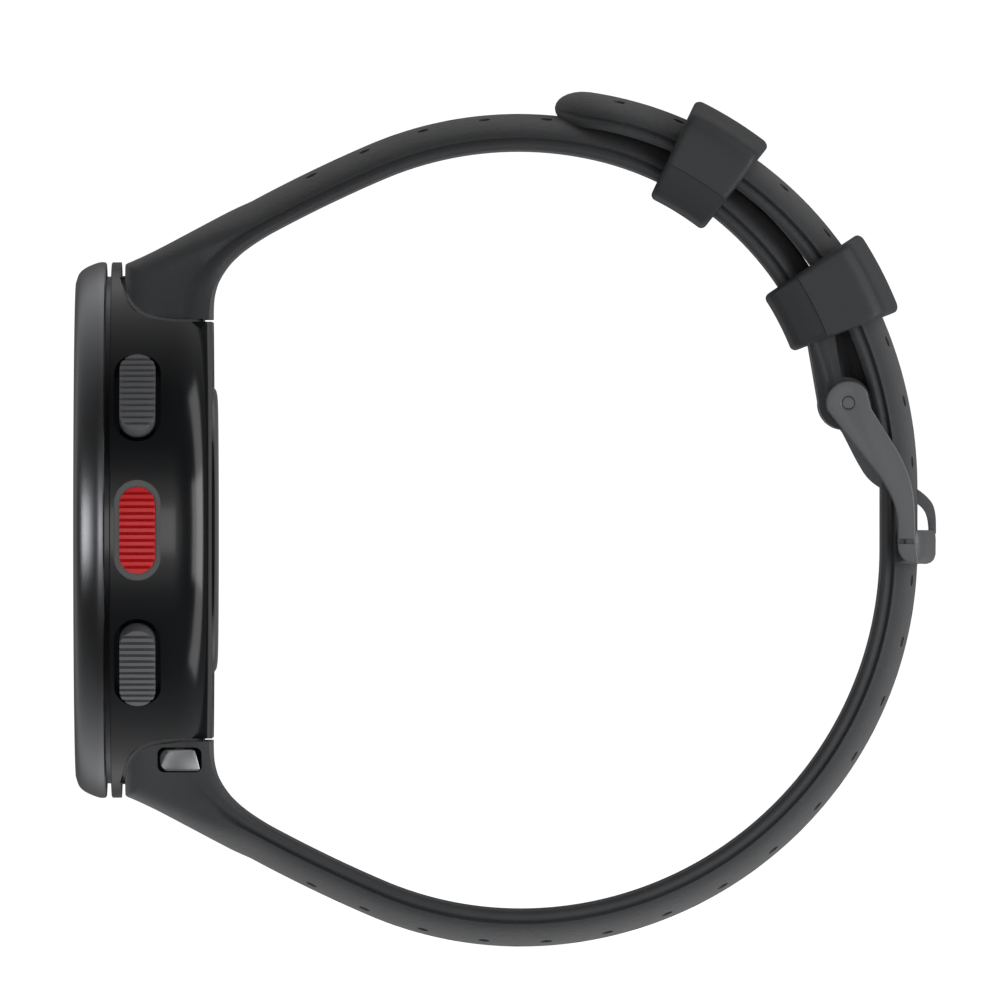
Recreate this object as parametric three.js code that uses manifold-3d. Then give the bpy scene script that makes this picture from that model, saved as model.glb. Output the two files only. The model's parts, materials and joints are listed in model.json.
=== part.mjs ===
// GPS running watch with its silicone strap buckled into a loop, in millimetres.
// Origin: centre of the flat heart-rate window on the wrist side of the case.
// +Z points to 12 o'clock, +X to 3 o'clock, and the display faces -Y.
import * as THREE from 'three';
import { mergeVertices } from 'three/addons/utils/BufferGeometryUtils.js';
import Module from 'manifold-3d';

const wasm = await Module();
wasm.setup();

// ---- Driving dimensions -------------------------------------------------

const gap = 0.3;
const sealGap = 0.15;
const roundSides = 40;
const smallSides = 12;

const caseRadius = 22.5;
const caseDepth = 8.49;
const caseShoulderDepth = 2.98;
const caseBackInset = 1.8;
const flangeThickness = 0.84;
const cavityRadius = 19.6;
const cavityWall = 1.55;

const bezelDepth = 2.6;
const bezelWall = 0.9;
const bezelTopInset = 1.74;
const bezelLedge = 0.5;
const grooveWidth = 0.42;
const upstandWall = 1.3;
const upstandHeight = 0.9;

const lensRadius = 18.7;
const lensThickness = 0.78;
const lensInset = 0.15;
const lensSeat = 0.7;
const displayThickness = 1.35;

const windowHeight = 0.42;
const windowRadius = 12.05;
const windowTopRadius = 10.5;
const windowThickness = 1.0;
const windowOpening = 9;

const coverRadius = 16.4;
const coverThickness = 1.23;
const lipInnerRadius = 12.9;
const lipThickness = 0.7;
const backSealThickness = 0.35;
const screwCircle = 14.4;
const screwHeadRadius = 1.05;
const screwHeadDepth = 0.6;
const screwShankRadius = 0.55;
const screwLength = 2.4;
const screwRecessRadius = 0.5;
const screwRecessDepth = 0.35;
const flushDrop = 0.05;
const contactPitch = 2.2;
const contactRadius = 0.6;

const buttonLength = 7.8;
const buttonWidth = 3.3;
const buttonHeight = 0.9;
const buttonThickness = 1.65;
const buttonDepth = 6.15;
const buttonPocketDepth = 1.3;
const buttonTravel = 0.5;
const stemRadius = 0.8;
const sealThickness = 0.65;
const stemBoreRadius = 1.6;
const switchWidth = 2.4;
const switchLength = 3;
const switchDepth = 1.5;

const boardRadius = 15.2;
const boardThickness = 0.8;
const batteryRadius = 14.6;
const batteryFlat = 5;
const chipSize = { x: 5.5, y: 0.9, z: 5.5 };
const shieldSize = { x: 6, y: 1.2, z: 6 };
const partsOffset = 4.5;
const motorRadius = 3.4;
const motorDepth = 2.7;
const sensorBoardRadius = 8.3;
const sensorBoardThickness = 0.7;
const sensorChipHalf = 1.5;
const sensorLampPitch = 5;
const sensorLampHalf = { x: 1, z: 1.6 };
const antennaThickness = 0.5;

const lugHalfWidth = 8;
const lugReach = 3.85;
const lugBack = 0.7;
const flatHeight = 17.45;
const lugBoreRadius = 1.4;
const barRadius = 1.1;
const barTipRadius = 0.6;
const barTipReach = 1.8;
const barDepth = 2.68;
const barHeight = 1.65;
const leverLength = 3.4;
const leverHeight = 2.1;
const leverTravel = 1.2;

const strapHalfWidth = 10;
const strapThickness = 3.2;
const strapHollow = 1.35;
const strapRim = 0.85;
const strapEdgeRadius = 1.3;
const strapDomeDrop = 1;
const strapFlareLength = 15.5;
const holePitch = 4.78;
const holeWidth = 2.6;
const holeLength = 3;
const holesBelow = 3;
const holesAbove = 8;
const tipRoundness = 6.5;

const strapStart = { y: 0.83, overCase: 0.32, slope: 30.35 };
const rootBend = { radius: 118.4, degrees: 7.1 };
const shortBend = { radius: 28.7, degrees: 35.9 };
const shortEndBend = { radius: 25.2, degrees: 68.5 };
const longBend = { radius: 29.15 };
const tailBend = { radius: 33, degrees: 24.26 };
const tailEnd = { degrees: 63.6, spread: 1.06, offsetY: 0.695, offsetZ: -1.025 };
const nestClearance = 0.36;

const keeperWidth = 5.5;
const keeperWall = 1.05;
const keeperSideWall = 1.1;
const keeperCrease = 3.1;
const keeperPlay = 0.45;
const keeperStations = { keeper_upper: 41.1, keeper_lower: 54.7 };
const keeperTravelDegrees = { keeper_upper: [-8, 6], keeper_lower: [-2.5, 6] };

const pinRadius = 0.75;
const pinClearance = 0.08;
const pinLift = 1.95;
const bossRadius = 2.05;
const bossDrop = 0.45;
const tongueHalfWidth = 0.95;
const armThickness = 1.3;
const armClearance = 0.6;
const armEndRadius = 1.85;
const tongueRun = -0.55;
const frameBarRun = -4.95;
const frameBarLength = 2.7;
const frameBarThickness = 1.15;
const frameBarArch = 1.6;
const frameBarShoulder = 1.2;
const notchDepth = 1.05;

// ---- Heights and places that follow from them ---------------------------

const backPlane = -windowHeight;
const flangeFront = backPlane - caseDepth;
const flangeBack = flangeFront + flangeThickness;
const bezelBack = flangeFront - grooveWidth;
const bezelFront = bezelBack - bezelDepth;
const upstandRadius = caseRadius - bezelWall - gap;
const upstandTop = flangeFront - upstandHeight;
const ledgeBack = upstandTop - gap;
const ledgeFront = ledgeBack - bezelLedge;
const lensFront = bezelFront + lensInset;
const lensBack = lensFront + lensThickness;
const displayRadius = lensRadius - lensSeat - gap;
const coverFront = backPlane - coverThickness;
const lipBack = coverFront - backSealThickness - 2 * sealGap;
const lipFront = lipBack - lipThickness;
const cavityFront = flangeBack + 0.07;
const boardFront = cavityFront + 0.5;
const boardBack = boardFront + boardThickness;
const batteryFront = boardBack + gap;
const batteryBack = lipFront - gap;
const buttonCentre = backPlane - buttonDepth;
const switchFace = cavityRadius - 1.7;
const barCentre = { y: backPlane - barDepth, z: flatHeight + barHeight };
const strapFlat = flatHeight + 0.35;
const strapFront = flangeBack + 0.34;
const strapEndHalfWidth = Math.sqrt(caseRadius ** 2 - strapFlat ** 2);
const nestLift = strapThickness - strapHollow + nestClearance;

const alongX = new THREE.Vector3(1, 0, 0);
const alongY = new THREE.Vector3(0, 1, 0);
const alongZ = new THREE.Vector3(0, 0, 1);

// ---- Solids and geometry ------------------------------------------------

function toSolid(geometry) {
  const bare = geometry.index ? geometry.toNonIndexed() : geometry.clone();
  bare.deleteAttribute('normal');
  bare.deleteAttribute('uv');
  const merged = mergeVertices(bare, 1e-4);
  const places = merged.getAttribute('position').array;
  const corners = [];
  const index = merged.index.array;
  for (let i = 0; i < index.length; i += 3) {
    const [a, b, c] = [index[i], index[i + 1], index[i + 2]];
    if (a !== b && b !== c && c !== a) corners.push(a, b, c);
  }
  if (volumeOf(places, corners) < 0) corners.reverse();
  return new wasm.Manifold(new wasm.Mesh({
    numProp: 3,
    vertProperties: new Float32Array(places),
    triVerts: new Uint32Array(corners),
  }));
}

function volumeOf(places, corners) {
  const [a, b, c] = [new THREE.Vector3(), new THREE.Vector3(), new THREE.Vector3()];
  let volume = 0;
  for (let i = 0; i < corners.length; i += 3) {
    a.fromArray(places, 3 * corners[i]);
    b.fromArray(places, 3 * corners[i + 1]);
    c.fromArray(places, 3 * corners[i + 2]);
    volume += a.dot(b.cross(c)) / 6;
  }
  return volume;
}

function toGeometry(solid) {
  const mesh = solid.getMesh();
  const geometry = new THREE.BufferGeometry();
  geometry.setAttribute('position', new THREE.BufferAttribute(mesh.vertProperties, 3));
  geometry.setIndex(new THREE.BufferAttribute(mesh.triVerts, 1));
  geometry.computeVertexNormals();
  return geometry;
}

// A ring or disc turned about the case axis, from [radius, y] pairs.
function turned(profile, sides = roundSides) {
  const points = profile.map(([radius, y]) => new THREE.Vector2(radius, y));
  if (profile[profile.length - 1][0] > 0) points.push(points[0].clone());
  return toSolid(new THREE.LatheGeometry(points, sides));
}

// A flat shape drawn out along Z by its depth, with that many segments to a curve.
function plate(shape, depth, curveSegments) {
  return new THREE.ExtrudeGeometry(shape, { depth, bevelEnabled: false, curveSegments });
}

// A side outline of [y, z] points, as thick as the span from low to high along X.
function sideCut(outline, low, high) {
  const shape = outline instanceof THREE.Shape ? outline : shapeFrom(outline);
  const geometry = plate(shape, high - low, 8);
  geometry.translate(0, 0, low);
  geometry.applyMatrix4(new THREE.Matrix4().makeBasis(alongY, alongZ, alongX));
  return toSolid(geometry);
}

// A front outline in X and Z, as thick as the span from low to high along Y.
function frontCut(shape, low, high) {
  const geometry = plate(shape, high - low, 16);
  geometry.translate(0, 0, -high);
  geometry.applyMatrix4(new THREE.Matrix4().makeBasis(alongX, alongZ, alongY.clone().negate()));
  return toSolid(geometry);
}

function shapeFrom(points) {
  return new THREE.Shape(points.map(([a, b]) => new THREE.Vector2(a, b)));
}

function block([lowX, lowY, lowZ], [highX, highY, highZ]) {
  const geometry = new THREE.BoxGeometry(highX - lowX, highY - lowY, highZ - lowZ);
  geometry.translate((lowX + highX) / 2, (lowY + highY) / 2, (lowZ + highZ) / 2);
  return toSolid(geometry);
}

// A rod along X, centred on the given point of the side view.
function rodAlongX(radius, low, high, { y, z }, sides = smallSides) {
  const geometry = new THREE.CylinderGeometry(radius, radius, high - low, sides);
  geometry.rotateZ(Math.PI / 2);
  geometry.translate((low + high) / 2, y, z);
  return toSolid(geometry);
}

function rodAlongY(radius, low, high, { x, z }, sides = smallSides) {
  const geometry = new THREE.CylinderGeometry(radius, radius, high - low, sides);
  geometry.translate(x, (low + high) / 2, z);
  return toSolid(geometry);
}

function mirroredInZ(solid) {
  return solid.mirror([0, 0, 1]);
}

function mirroredInX(solid) {
  return solid.mirror([1, 0, 0]);
}

// ---- The strap's route in the side view ---------------------------------

// A chain of tangent arcs and straights. turn is +1 for a left bend, -1 for a right bend,
// and the outer side of the strap lies away from the centres.
class Route {
  constructor(start, headingDegrees, turn) {
    this.turn = turn;
    this.pieces = [];
    this.end = { y: start.y, z: start.z, heading: THREE.MathUtils.degToRad(headingDegrees) };
    this.length = 0;
  }

  arc(radius, degrees) {
    const angle = THREE.MathUtils.degToRad(degrees);
    this.pieces.push({ from: this.end, start: this.length, length: radius * angle, radius });
    this.length += radius * angle;
    this.end = this.at(this.length);
    return this;
  }

  straight(length) {
    this.pieces.push({ from: this.end, start: this.length, length, radius: Infinity });
    this.length += length;
    this.end = this.at(this.length);
    return this;
  }

  at(station) {
    const last = this.pieces[this.pieces.length - 1];
    const piece = this.pieces.find((p) => station <= p.start + p.length) ?? last;
    const run = station - piece.start;
    const { y, z, heading } = piece.from;
    if (piece.radius === Infinity) {
      return { y: y + run * Math.cos(heading), z: z + run * Math.sin(heading), heading };
    }
    const after = heading + this.turn * run / piece.radius;
    const side = this.turn * piece.radius;
    return {
      y: y + side * (Math.sin(after) - Math.sin(heading)),
      z: z - side * (Math.cos(after) - Math.cos(heading)),
      heading: after,
    };
  }

  // The point at a station, lifted outward from the strap's wrist side.
  lifted(station, lift) {
    const { y, z, heading } = this.at(station);
    return { y: y + this.turn * lift * Math.sin(heading), z: z - this.turn * lift * Math.cos(heading) };
  }

  // Axes at a station: across the strap, outward and along the route.
  frame(station, lift) {
    const { heading } = this.at(station);
    const { y, z } = this.lifted(station, lift);
    const along = new THREE.Vector3(0, Math.cos(heading), Math.sin(heading));
    const outward = new THREE.Vector3(0, this.turn * Math.sin(heading), -this.turn * Math.cos(heading));
    const across = outward.clone().cross(along);
    return new THREE.Matrix4().makeBasis(across, outward, along).setPosition(0, y, z);
  }

  // A section in width and height, carried along the route between two stations.
  sweep(shape, from, to, steps) {
    const geometry = new THREE.ExtrudeGeometry(shape, {
      depth: to - from, steps, bevelEnabled: false, curveSegments: 4,
    });
    const places = geometry.getAttribute('position');
    for (let i = 0; i < places.count; i += 1) {
      const { y, z } = this.lifted(from + places.getZ(i), places.getY(i));
      places.setXYZ(i, places.getX(i), y, z);
    }
    return toSolid(geometry);
  }
}

const rootHeight = caseRadius + strapStart.overCase;

const shortRoute = new Route({ y: strapStart.y, z: rootHeight }, strapStart.slope, -1);
shortRoute.arc(rootBend.radius, rootBend.degrees);
shortRoute.arc(shortBend.radius, shortBend.degrees);
const shortEndStart = shortRoute.end;
shortRoute.arc(shortEndBend.radius, shortEndBend.degrees);

// The centre about which the short half's last bend and both keepers turn.
const bendCentre = {
  y: shortEndStart.y + shortEndBend.radius * Math.sin(shortEndStart.heading),
  z: shortEndStart.z - shortEndBend.radius * Math.cos(shortEndStart.heading),
};

// The tail lies over the short half, so its last bends are placed first,
// and the bend at the foot of the loop and the upright run close the gap.
const tailCentre = { y: bendCentre.y + tailEnd.offsetY, z: bendCentre.z + tailEnd.offsetZ };
const tailRadius = shortEndBend.radius + nestLift + tailEnd.spread;
const tailTurn = THREE.MathUtils.degToRad(tailBend.degrees);
const uprightEnd = {
  y: tailCentre.y + (tailRadius - tailBend.radius) * Math.cos(tailTurn) + tailBend.radius,
  z: tailCentre.z + (tailRadius - tailBend.radius) * Math.sin(tailTurn),
};

const longRoute = new Route({ y: strapStart.y, z: -rootHeight }, -strapStart.slope, 1);
longRoute.arc(rootBend.radius, rootBend.degrees);
longRoute.arc(longBend.radius, strapStart.slope - rootBend.degrees);
const footSpan = { y: uprightEnd.y - longRoute.end.y, z: uprightEnd.z - longRoute.end.z };
const footRadius = Math.min(footSpan.y, footSpan.z);
longRoute.straight(footSpan.y - footRadius);
longRoute.arc(footRadius, 90);
longRoute.straight(footSpan.z - footRadius);
const uprightStation = longRoute.length;
longRoute.arc(tailBend.radius, tailBend.degrees);
longRoute.arc(tailRadius, tailEnd.degrees);

// The tongue's hole and the frame's bar lie on the upright run, near its end.
const tongueStation = uprightStation + tongueRun;
const barStation = uprightStation + frameBarRun;

// How far the tail's wrist side stands over the short half's, at an angle about the bend centre.
function tailLift(degrees) {
  const angle = THREE.MathUtils.degToRad(degrees);
  const toward = tailEnd.offsetY * Math.cos(angle) + tailEnd.offsetZ * Math.sin(angle);
  const across = tailEnd.offsetY * Math.sin(angle) - tailEnd.offsetZ * Math.cos(angle);
  return toward + Math.sqrt(tailRadius ** 2 - across ** 2) - shortEndBend.radius;
}

// ---- The strap's cross-section ------------------------------------------

function strapSection(halfWidth) {
  const shoulder = halfWidth - strapEdgeRadius;
  const shoulderTop = strapThickness - strapDomeDrop;
  const shape = new THREE.Shape();
  shape.moveTo(-halfWidth, 0);
  shape.quadraticCurveTo(0, 2 * strapHollow, halfWidth, 0);
  shape.lineTo(halfWidth, strapRim);
  shape.lineTo(halfWidth - 0.3, shoulderTop - 0.5);
  shape.lineTo(shoulder, shoulderTop);
  shape.quadraticCurveTo(0, strapThickness + strapDomeDrop, -shoulder, shoulderTop);
  shape.lineTo(0.3 - halfWidth, shoulderTop - 0.5);
  shape.lineTo(-halfWidth, strapRim);
  return shape;
}

// ---- Case ---------------------------------------------------------------

const bezel = turned([
  [caseRadius - bezelWall, bezelBack],
  [caseRadius, bezelBack],
  [caseRadius, bezelBack - 0.22 * bezelDepth],
  [caseRadius - 0.23, bezelBack - 0.49 * bezelDepth],
  [caseRadius - 0.57, bezelBack - 0.74 * bezelDepth],
  [caseRadius - 1.0, bezelBack - 0.9 * bezelDepth],
  [caseRadius - bezelTopInset, bezelFront],
  [lensRadius + gap + 0.3, bezelFront],
  [lensRadius + gap, bezelFront + 0.3],
  [lensRadius + gap, ledgeFront],
  [lensRadius - lensSeat, ledgeFront],
  [lensRadius - lensSeat, ledgeBack],
  [caseRadius - bezelWall, ledgeBack],
]);

const lens = turned([[0, lensFront], [0, lensBack], [lensRadius, lensBack], [lensRadius, lensFront]]);

const displayFront = lensBack + gap;
const display = turned([
  [0, displayFront],
  [0, displayFront + displayThickness],
  [displayRadius, displayFront + displayThickness],
  [displayRadius, displayFront],
], 48);

const antennaInner = lensRadius - lensSeat + 0.2;
const antennaOuter = upstandRadius - upstandWall - gap;
const antennaBack = flangeFront - gap;
const antenna = turned([
  [antennaInner, antennaBack - antennaThickness],
  [antennaOuter, antennaBack - antennaThickness],
  [antennaOuter, antennaBack],
  [antennaInner, antennaBack],
], 40);

function caseShell() {
  const shoulder = backPlane - caseShoulderDepth;
  const corner = new THREE.QuadraticBezierCurve(
    new THREE.Vector2(caseRadius, shoulder),
    new THREE.Vector2(caseRadius, backPlane - 0.9),
    new THREE.Vector2(caseRadius - caseBackInset, backPlane),
  );
  const outer = corner.getPoints(5).map((p) => [p.x, p.y]);
  const wall = turned([[0, backPlane], [0, flangeFront], [caseRadius, flangeFront], ...outer]);
  return wall
    .subtract(strapNotch())
    .subtract(mirroredInZ(strapNotch()))
    .add(upstand())
    .add(lug())
    .add(mirroredInZ(lug()));
}

// The seat cut across the case for a strap end, with a fillet up to the flange.
function strapNotch() {
  const beyond = caseRadius + 5;
  return sideCut([
    [backPlane + 1, flatHeight],
    [flangeBack + 4.5, flatHeight],
    [flangeBack + 2.35, flatHeight + 0.35],
    [flangeBack + 1.15, flatHeight + 1.05],
    [flangeBack + 0.45, flatHeight + 2.05],
    [flangeBack, flatHeight + 3.5],
    [flangeBack, beyond],
    [backPlane + 1, beyond],
  ], -beyond, beyond);
}

function upstand() {
  return turned([
    [upstandRadius - upstandWall, flangeFront + 0.2],
    [upstandRadius, flangeFront + 0.2],
    [upstandRadius, upstandTop],
    [upstandRadius - upstandWall, upstandTop],
  ]);
}

// The single lug that a strap end forks around, with its bore for the spring bar.
function lug() {
  const top = flatHeight + lugReach;
  const back = backPlane - lugBack;
  const body = sideCut([
    [flangeBack - 0.2, flatHeight - 1],
    [back, flatHeight - 1],
    [back, top - 1.4],
    [back - 1.4, top],
    [flangeBack - 0.2, top],
  ], -lugHalfWidth, lugHalfWidth);
  return body.subtract(rodAlongX(lugBoreRadius, -lugHalfWidth - 1, lugHalfWidth + 1, barCentre));
}

function caseCavity() {
  const half = flatHeight - cavityWall;
  const room = turned([
    [0, cavityFront], [cavityRadius, cavityFront], [cavityRadius, lipFront], [0, lipFront],
  ]);
  const frontHole = turned([
    [0, flangeFront - 1], [displayRadius + 0.2, flangeFront - 1],
    [displayRadius + 0.2, cavityFront + 0.1], [0, cavityFront + 0.1],
  ]);
  const backHole = turned([
    [0, lipFront - 0.1], [lipInnerRadius, lipFront - 0.1],
    [lipInnerRadius, lipBack + 0.1], [0, lipBack + 0.1],
  ], 48);
  const coverSeat = turned([
    [0, lipBack], [coverRadius + gap, lipBack], [coverRadius + gap, backPlane + 1], [0, backPlane + 1],
  ]);
  return room
    .intersect(block([-caseRadius, cavityFront - 1, -half], [caseRadius, backPlane, half]))
    .add(frontHole)
    .add(backHole)
    .add(coverSeat);
}

const screwAngles = [45, 135, 225, 315].map(THREE.MathUtils.degToRad);
const screwPlaces = screwAngles.map((a) => ({ x: screwCircle * Math.cos(a), z: screwCircle * Math.sin(a) }));
const contactPlaces = [-1.5, -0.5, 0.5, 1.5].map((step) => ({ x: step * contactPitch, z: -screwCircle }));

// ---- Buttons ------------------------------------------------------------

const buttons = [
  { name: 'up', angle: 30 },
  { name: 'start', angle: 0 },
  { name: 'down', angle: -30 },
  { name: 'light', angle: 150 },
  { name: 'back', angle: 210 },
];

// Axes of a button: across it (Y), along its length, and out of the case.
function buttonFrame(angleDegrees) {
  const angle = THREE.MathUtils.degToRad(angleDegrees);
  const out = new THREE.Vector3(Math.cos(angle), 0, Math.sin(angle));
  const lengthwise = new THREE.Vector3(-Math.sin(angle), 0, Math.cos(angle));
  return new THREE.Matrix4().makeBasis(alongY, lengthwise, out).setPosition(0, buttonCentre, 0);
}

function pill(length, width, low, high) {
  const radius = width / 2;
  const straight = length / 2 - radius;
  const shape = new THREE.Shape();
  shape.absarc(0, straight, radius, 0, Math.PI);
  shape.absarc(0, -straight, radius, Math.PI, 2 * Math.PI);
  const geometry = plate(shape, high - low, 4);
  return geometry.translate(0, 0, low);
}

function rod(radius, low, high, sides = smallSides) {
  const geometry = new THREE.CylinderGeometry(radius, radius, high - low, sides);
  return geometry.rotateX(Math.PI / 2).translate(0, 0, (low + high) / 2);
}

function buttonCap(angle) {
  const frame = buttonFrame(angle);
  const face = caseRadius + buttonHeight;
  const drum = turned([
    [0, flangeFront - 2], [0, backPlane + 2], [face, backPlane + 2], [face, flangeFront - 2],
  ]);
  const capBack = face - buttonThickness;
  const body = pill(buttonLength, buttonWidth, capBack, face + 1).applyMatrix4(frame);
  const stem = rod(stemRadius, switchFace + buttonTravel + 0.2, capBack + 0.2, 12).applyMatrix4(frame);
  return toSolid(body).intersect(drum).add(toSolid(stem));
}

function buttonOpening(angle) {
  const frame = buttonFrame(angle);
  const floor = caseRadius - buttonPocketDepth;
  const pocket = pill(buttonLength + 2 * gap, buttonWidth + 2 * gap, floor, caseRadius + 2);
  const bore = rod(stemBoreRadius, cavityRadius - 1.2, floor + 0.1);
  return toSolid(pocket.applyMatrix4(frame)).add(toSolid(bore.applyMatrix4(frame)));
}

function stemSeal(angle) {
  const inner = stemRadius + sealGap;
  const outer = stemBoreRadius - sealGap;
  const low = cavityRadius + 0.3;
  const high = low + sealThickness;
  const profile = [[inner, low], [outer, low], [outer, high], [inner, high], [inner, low]];
  const geometry = new THREE.LatheGeometry(profile.map(([r, y]) => new THREE.Vector2(r, y)), 12);
  return toSolid(geometry.rotateX(Math.PI / 2).applyMatrix4(buttonFrame(angle)));
}

function tactSwitch(angle) {
  const geometry = new THREE.BoxGeometry(switchWidth, switchLength, switchDepth);
  geometry.translate(0, 0, switchFace - switchDepth / 2);
  return toSolid(geometry.applyMatrix4(buttonFrame(angle)));
}

let caseMiddle = caseShell().subtract(caseCavity());
for (const { angle } of buttons) caseMiddle = caseMiddle.subtract(buttonOpening(angle));
for (const place of screwPlaces) {
  const screwHole = rodAlongY(screwShankRadius + sealGap, lipFront - 1, lipBack + 1, place, 12);
  caseMiddle = caseMiddle.subtract(screwHole);
}

let caseCover = turned([
  [windowOpening, coverFront],
  [windowOpening, backPlane - windowThickness],
  [windowRadius + gap, backPlane - windowThickness],
  [windowRadius + gap, backPlane],
  [coverRadius, backPlane],
  [coverRadius, coverFront],
]);
for (const place of screwPlaces) {
  const headSeat = backPlane - screwHeadDepth - sealGap;
  const head = rodAlongY(screwHeadRadius + sealGap, headSeat, backPlane + 1, place);
  const shank = rodAlongY(screwShankRadius + sealGap, coverFront - 1, backPlane, place, 12);
  caseCover = caseCover.subtract(head.add(shank));
}
for (const place of contactPlaces) {
  const contactHole = rodAlongY(contactRadius + sealGap, coverFront - 1, backPlane + 1, place, 12);
  caseCover = caseCover.subtract(contactHole);
}

const sealInner = screwCircle + screwHeadRadius;
const backSeal = turned([
  [sealInner, lipBack + sealGap],
  [coverRadius, lipBack + sealGap],
  [coverRadius, lipBack + sealGap + backSealThickness],
  [sealInner, lipBack + sealGap + backSealThickness],
], 48);

const sensorWindow = turned([
  [0, 0],
  [windowTopRadius, 0],
  [windowRadius - 0.5, -0.11],
  [windowRadius, backPlane],
  [windowRadius, backPlane - windowThickness + gap],
  [0, backPlane - windowThickness + gap],
]);

function caseScrew(place) {
  const head = rodAlongY(screwHeadRadius, backPlane - screwHeadDepth, backPlane - flushDrop, place);
  const neck = backPlane - screwHeadDepth + 0.1;
  const shank = rodAlongY(screwShankRadius, backPlane - screwLength, neck, place, 12);
  const recess = rodAlongY(screwRecessRadius, backPlane - screwRecessDepth, backPlane + 1, place, 6);
  return head.add(shank).subtract(recess);
}

function chargingContact(place) {
  return rodAlongY(contactRadius, coverFront - gap, backPlane - flushDrop, place, 12);
}

// ---- Electronics --------------------------------------------------------

const mainBoard = turned([
  [0, boardFront], [0, boardBack], [boardRadius, boardBack], [boardRadius, boardFront],
], 40);

function batteryBlock() {
  const cutAngle = Math.asin(batteryFlat / batteryRadius);
  const shape = new THREE.Shape();
  shape.absarc(0, 0, batteryRadius, Math.PI - cutAngle, 2 * Math.PI + cutAngle);
  return frontCut(shape, batteryFront, batteryBack);
}

const partsTop = batteryFront + 0.1;
const chipBase = batteryFlat + 1;
const processor = block(
  [partsOffset, partsTop, chipBase],
  [partsOffset + chipSize.x, partsTop + chipSize.y, chipBase + chipSize.z],
);
const radioShield = block(
  [-partsOffset - shieldSize.x, partsTop, chipBase],
  [-partsOffset, partsTop + shieldSize.y, chipBase + shieldSize.z],
);
const motorPlace = { x: 0, z: chipBase + motorRadius + 0.1 };
const motor = rodAlongY(motorRadius, partsTop, partsTop + motorDepth, motorPlace, 24);

// The board under the window, with the light sensor at its middle and a lamp on each side.
function sensorBoard() {
  const back = coverFront - gap;
  const front = back - sensorBoardThickness;
  const foot = back - 0.1;
  const top = backPlane - windowThickness - flushDrop;
  const board = turned([[0, front], [0, back], [sensorBoardRadius, back], [sensorBoardRadius, front]], 32);
  const sensor = block([-sensorChipHalf, foot, -sensorChipHalf], [sensorChipHalf, top, sensorChipHalf]);
  const lamps = [-sensorLampPitch, sensorLampPitch].map((x) => block(
    [x - sensorLampHalf.x, foot, -sensorLampHalf.z],
    [x + sensorLampHalf.x, top, sensorLampHalf.z],
  ));
  return board.add(sensor).add(lamps[0]).add(lamps[1]);
}

// ---- Strap ends, spring bars and their levers ---------------------------

// The upper strap end in the side view: a wedge that fills the case's seat.
function strapWedge() {
  const outline = [
    [backPlane, strapFlat],
    [flangeBack + 4.5, strapFlat],
    [flangeBack + 2.5, strapFlat + 0.33],
    [flangeBack + 1.4, strapFlat + 0.95],
    [flangeBack + 0.75, strapFlat + 1.95],
    [strapFront, strapFlat + 3.4],
    [strapFront, rootHeight - 0.5],
    [strapFront + 0.5, rootHeight - 0.25],
    [strapFront + 1.8, rootHeight + 0.3],
    [strapFront + 4.5, rootHeight + 1.6],
  ];
  const outerEnd = shortRoute.lifted(4, strapThickness - 0.1);
  const innerEnd = shortRoute.lifted(4, 0.05);
  outline.push([outerEnd.y, outerEnd.z], [innerEnd.y, innerEnd.z]);
  outline.push([strapStart.y + 1, rootHeight + 0.25]);
  outline.push([strapStart.y, rootHeight - 0.8]);
  outline.push([backPlane + 0.6, strapFlat + 3.0]);
  return sideCut(outline, -strapEndHalfWidth, strapEndHalfWidth);
}

// The strap end from the front, narrowing from the case's width to the strap's.
function flareOutline() {
  const half = strapEndHalfWidth;
  const narrow = strapFlat + strapFlareLength;
  const shape = new THREE.Shape();
  shape.moveTo(-half, strapFlat - 1);
  shape.lineTo(half, strapFlat - 1);
  shape.lineTo(half, strapFlat);
  shape.bezierCurveTo(half - 1.2, strapFlat + 1.6, strapHalfWidth, strapFlat + 6, strapHalfWidth, narrow);
  shape.lineTo(-strapHalfWidth, narrow);
  shape.bezierCurveTo(-strapHalfWidth, strapFlat + 6, 1.2 - half, strapFlat + 1.6, -half, strapFlat);
  return shape;
}

const pocketInner = lugHalfWidth + gap + 2;

// The upper strap end, with its mortise for the lug, the bar's holes and the lever's pocket at +X.
function strapEnd() {
  const mortise = sideCut([
    [flangeBack - 1, strapFlat - 2],
    [backPlane - lugBack + gap, strapFlat - 2],
    [backPlane - lugBack + gap, flatHeight + lugReach + gap],
    [flangeBack - 1, flatHeight + lugReach + gap],
  ], -lugHalfWidth - gap, lugHalfWidth + gap);
  const holeStart = -lugHalfWidth - barTipReach - gap;
  const tipHoles = rodAlongX(barTipRadius + gap, holeStart, pocketInner + 1, barCentre);
  const pocket = block(
    [pocketInner, barCentre.y - leverLength / 2 - gap, strapFlat - 1],
    [strapEndHalfWidth + 1, barCentre.y + leverLength / 2 + gap, barCentre.z + leverHeight / 2 + gap],
  );
  return strapWedge()
    .intersect(frontCut(flareOutline(), strapFront - 2, strapFront + 20))
    .subtract(mortise)
    .subtract(tipHoles)
    .subtract(pocket);
}

const tubeLength = lugHalfWidth - gap;
const leverBoreRadius = barTipRadius + 0.2;

function springBar() {
  const bar = rodAlongX(barRadius, -tubeLength, tubeLength, barCentre);
  const tip = rodAlongX(barTipRadius, -lugHalfWidth - barTipReach, -tubeLength + 0.5, barCentre, 12);
  const bore = rodAlongX(leverBoreRadius, 1, tubeLength + 1, barCentre, 12);
  return bar.add(tip).subtract(bore);
}

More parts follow.
